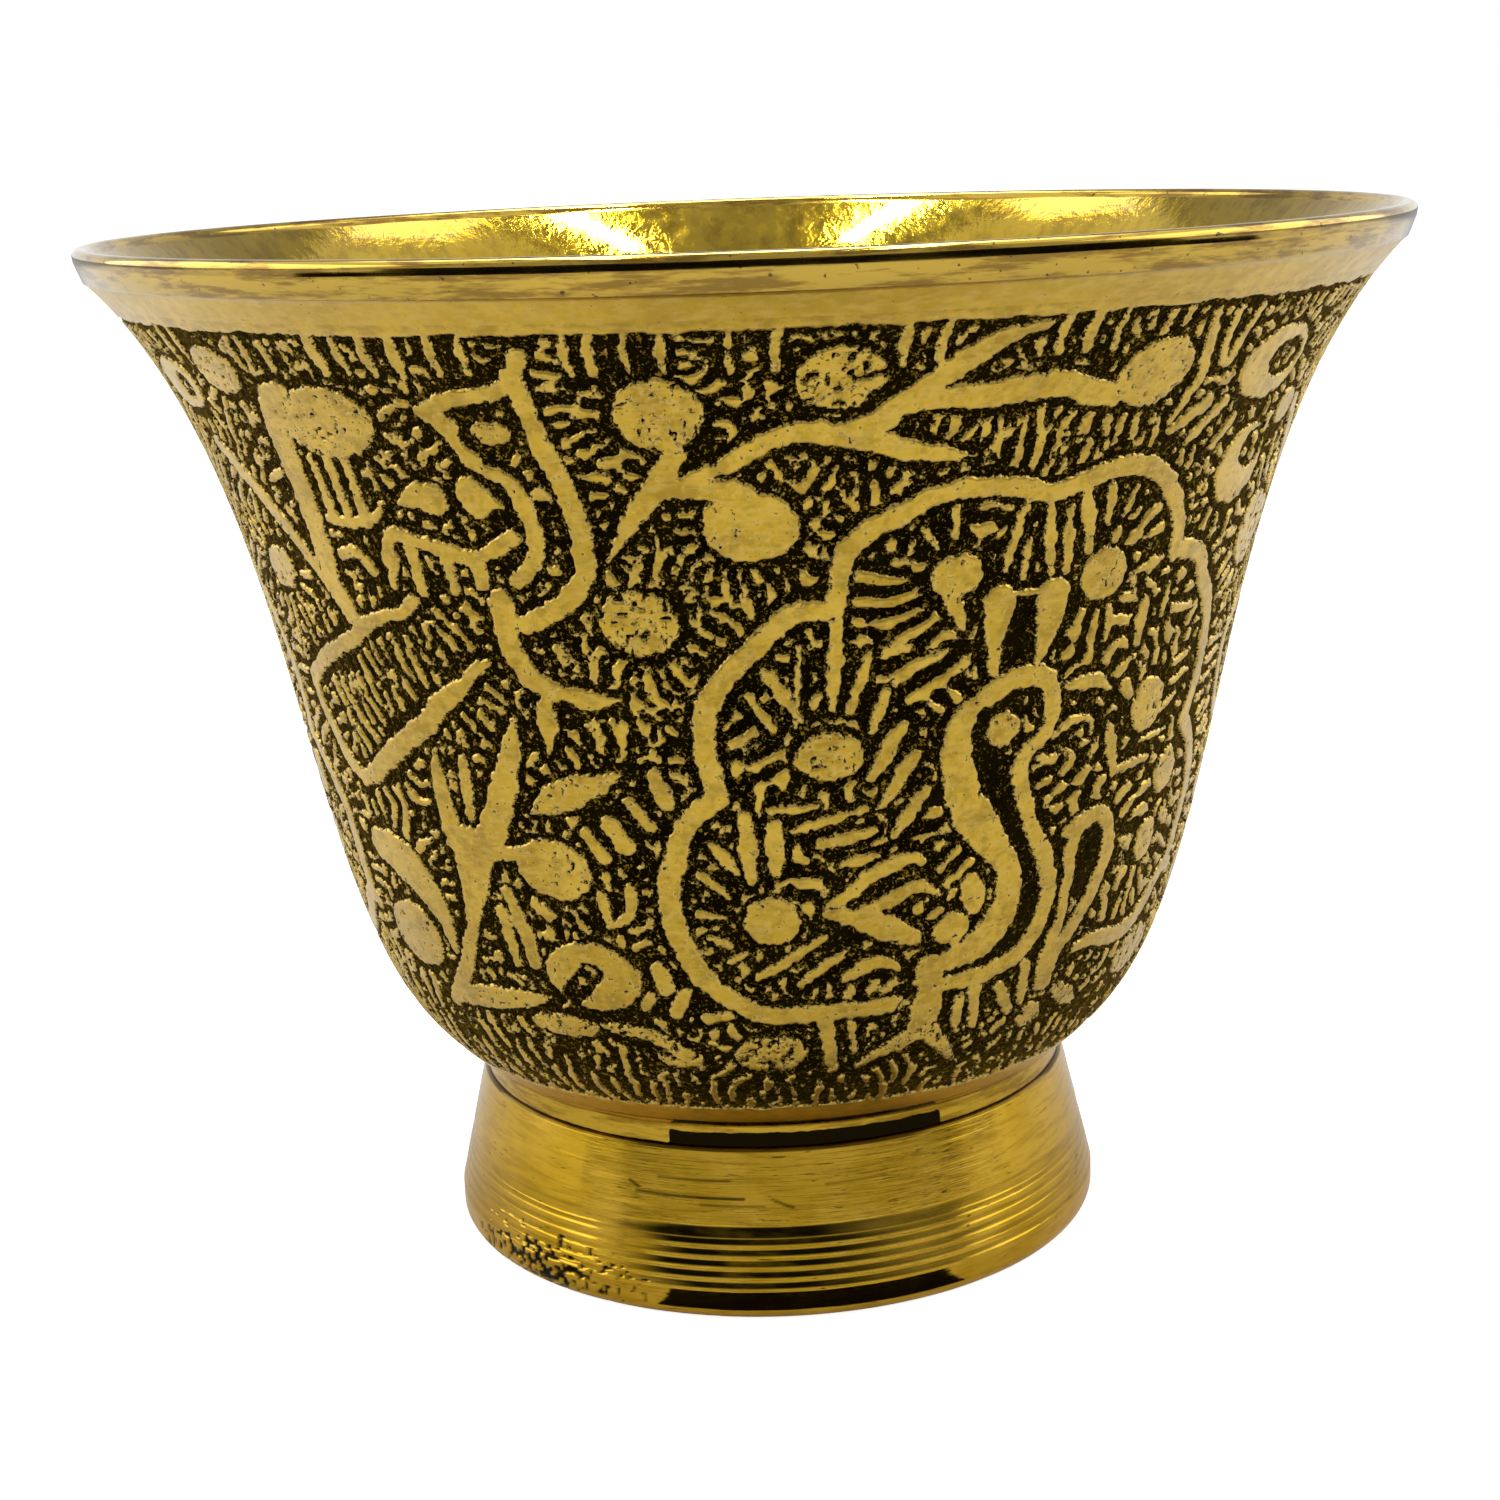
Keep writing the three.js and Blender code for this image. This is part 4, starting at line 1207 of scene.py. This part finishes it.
def black_lacquer():
    """The black filling, dull and crinkled, with crumbs of brass that thicken towards the raised shapes."""
    s = Look("black_lacquer")
    nearness = s.ramp(s.attribute("raised"), -0.5, 0.0, 0.0, 0.07, kind="LINEAR")
    grains = s.math("ADD", s.noise(0.2, 2, 0.6, distortion=0.8), nearness)
    crumbs = s.ramp(grains, 0.645, 0.68)
    tint = s.ramp(s.noise(3.0, 2), 0.35, 0.7)
    ground = s.blend(tint, (0.003, 0.002, 0.0004), (0.009, 0.006, 0.0008))
    s.set(Base_Color=s.blend(s.math("MULTIPLY", crumbs, 0.8), ground, (0.34, 0.22, 0.022)))
    s.set(Metallic=0.85, Specular_IOR_Level=0.1, Specular_Tint=(0.45, 0.33, 0.08, 1.0))
    s.set(Roughness=s.ramp(s.noise(0.5, 3), 0.3, 0.7, 0.38, 0.62))
    s.set(Sheen_Weight=0.22, Sheen_Roughness=0.4, Sheen_Tint=(0.75, 0.48, 0.03, 1.0))
    fine = s.bump(s.noise(0.15, 3, 0.6), 0.05)
    s.set(Normal=s.bump(s.noise(0.4, 2), 0.10, after=fine))
    return s.material


def dull_solder():
    """Grey solder with a dull skin."""
    s = Look("dull_solder")
    skin = s.ramp(s.noise(1.0, 4, 0.6), 0.35, 0.65)
    s.set(Base_Color=s.blend(skin, (0.36, 0.33, 0.27), (0.20, 0.18, 0.14)), Metallic=1.0)
    s.set(Roughness=s.ramp(s.noise(0.6, 3), 0.3, 0.7, 0.35, 0.6), Normal=s.bump(s.noise(0.5, 3), 0.08))
    return s.material


field = Canvas(COLUMNS, FIELD_ROWS)
draw_all(field)
inside_shape = finish(field)
grain = Noise(5)

bowl = make_bowl(field, inside_shape)
for look in (etched_brass(), inner_brass(), lip_brass(), neck_brass()):
    bowl.data.materials.append(look)
filling = make_lacquer(field, inside_shape, grain)
filling.data.materials.append(black_lacquer())
foot = make_foot(grain)
foot.data.materials.append(foot_brass())
solder = make_solder(grain)
solder.data.materials.append(dull_solder())

for piece, node, slot in ((bowl, "bowl", "bowl"), (filling, "lacquer_inlay", "lacquer_inlay"),
                          (foot, "foot_ring", "foot_ring"), (solder, "solder_seam", "solder_seam")):
    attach(piece, "root")
    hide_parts(node)


def add_floor():
    """A pale floor that shows as white to the camera and keeps the cup's shadow."""
    half = 3.0  # metres, as all lengths of the stage
    mesh = bpy.data.meshes.new("floor")
    corners = [(-half, -half, 0), (half, -half, 0), (half, half, 0), (-half, half, 0)]
    mesh.from_pydata(corners, [], [(0, 1, 2, 3)])
    floor = placed("floor", mesh)
    floor.location.z = -0.00005  # a hair under the foot
    pale = Look("pale_floor")
    dull = pale.add("BsdfDiffuse", (0.86, 0.86, 0.86, 1))
    glow = pale.add("Emission", Strength=pale.math("MULTIPLY", pale.camera_ray(), 0.80))
    both = pale.add("AddShader", dull.outputs[0], glow.outputs[0])
    pale.put(pale.output.inputs["Surface"], both.outputs[0])
    mesh.materials.append(pale.material)


def add_card(name, near, far, left, right):
    """A dark card lying in front of the cup, between two distances from the axis and two angles.

    Only reflections see it.
    """
    lift = 0.00001
    turns = np.radians(np.linspace(left, right, 27))
    points = [(r * math.sin(t), -r * math.cos(t), lift) for t in turns for r in (near, far)]
    faces = [(2 * i, 2 * i + 2, 2 * i + 3, 2 * i + 1) for i in range(len(turns) - 1)]
    mesh = bpy.data.meshes.new(name)
    mesh.from_pydata(points, [], faces)
    dark = Look(name)
    dark.set(Base_Color=(0.01, 0.01, 0.01, 1), Specular_IOR_Level=0.0)
    mesh.materials.append(dark.material)
    card = placed(name, mesh)
    card.visible_camera = False
    card.visible_diffuse = False
    card.visible_shadow = False


def add_world():
    """A pale room, darkest overhead and in front, which is white where the camera sees it."""
    world = bpy.data.worlds.new("room")
    bpy.context.scene.world = world
    world.use_nodes = True
    room = Nodes(world.node_tree)
    direction = room.add("TexCoord").outputs["Generated"]
    ahead = room.add("VectorMath", direction, (0.12, -0.99, 0))
    ahead.operation = "DOT_PRODUCT"
    up = room.add("SeparateXYZ", direction).outputs["Z"]
    horizon = room.ramp(ahead.outputs["Value"], 0.35, 0.45, 0.90, 0.54, kind="LINEAR")
    sky = room.ramp(up, 0.05, 0.55, horizon, 0.34, kind="LINEAR")
    background = world.node_tree.nodes["Background"]
    room.put(background.inputs["Color"], (1, 1, 1, 1))
    room.put(background.inputs["Strength"], room.ramp(room.camera_ray(), 0.0, 1.0, sky, 1.0, kind="LINEAR"))


def pose(thing, axes, place):
    """Puts an object at a place, in metres, with its x, y and z axes along three directions."""
    thing.matrix_world = Matrix([(*row, at) for row, at in zip(zip(*axes), place)] + [(0, 0, 0, 1)])


def add_lamp(name, place, aim, size, power, glint=True, spread=True):
    """A soft rectangular lamp. It can leave out its glint on metal, or its light on dull faces."""
    data = bpy.data.lights.new(name, "AREA")
    data.shape = "RECTANGLE"
    data.size, data.size_y = size
    data.energy = power
    lamp = placed(name, data)
    lamp.visible_diffuse = spread
    lamp.visible_glossy = glint
    back = np.array(place, float) - np.array(aim, float)
    back /= np.linalg.norm(back)
    side = np.cross((0, 0, 1), back)
    side /= np.linalg.norm(side)
    pose(lamp, (side, np.cross(back, side), back), place)


def add_camera():
    """The camera of the photograph, from the fit to the rim, foot and ornament."""
    pitch, yaw, roll = 0.2411, -0.0049, -0.0368  # radians
    ahead = np.array([math.sin(yaw) * math.cos(pitch), math.cos(yaw) * math.cos(pitch), -math.sin(pitch)])
    right = np.array([math.cos(yaw), -math.sin(yaw), 0.0])
    up = np.cross(right, ahead)
    data = bpy.data.cameras.new("camera")
    data.sensor_width = 36.0
    data.lens = 61.72
    data.clip_start = 0.01
    camera = placed("camera", data)
    camera_x = math.cos(roll) * right + math.sin(roll) * up
    camera_y = -math.sin(roll) * right + math.cos(roll) * up
    pose(camera, (camera_x, camera_y, -ahead), (0.0, -0.152585, 0.065864))
    bpy.context.scene.camera = camera


add_camera()
add_floor()
add_world()
add_lamp("left_panel", (-0.45, 0.06, 0.22), (0, 0.02, 0.03), (0.60, 0.40), 1.05)
add_lamp("right_panel", (0.45, 0.06, 0.22), (0, 0.02, 0.03), (0.60, 0.40), 0.90)
add_lamp("left_pool", (-0.30, 0.05, 0.38), (-0.12, 0.03, 0.0), (0.40, 0.30), 0.16)
add_lamp("right_pool", (0.30, 0.05, 0.38), (0.12, 0.03, 0.0), (0.40, 0.30), 0.16)
add_lamp("over_panel", (0, 0.25, 0.75), (0, 0, 0.03), (0.80, 0.22), 1.22)
add_lamp("floor_front", (0, -0.60, 0.30), (0, -0.05, 0), (1.0, 0.30), 0.85, glint=False)
add_lamp("crest_light", (0, 0.25, 0.74), (0, 0, 0.03), (0.44, 0.20), 3.1, spread=False)
add_lamp("left_spark", (-0.136, -0.03, 0.60), (0, -0.03, 0.05), (0.22, 0.02), 1.2, spread=False)
add_lamp("right_spark", (0.146, -0.03, 0.60), (0, -0.03, 0.05), (0.22, 0.02), 1.2, spread=False)
add_card("near_card", 0.0203, 0.0255, -22, 34)
add_card("middle_card", 0.16, 0.32, -72, 86)
add_card("far_card", 0.32, 0.90, -57, 71)

bpy.context.scene.view_settings.view_transform = "Standard"
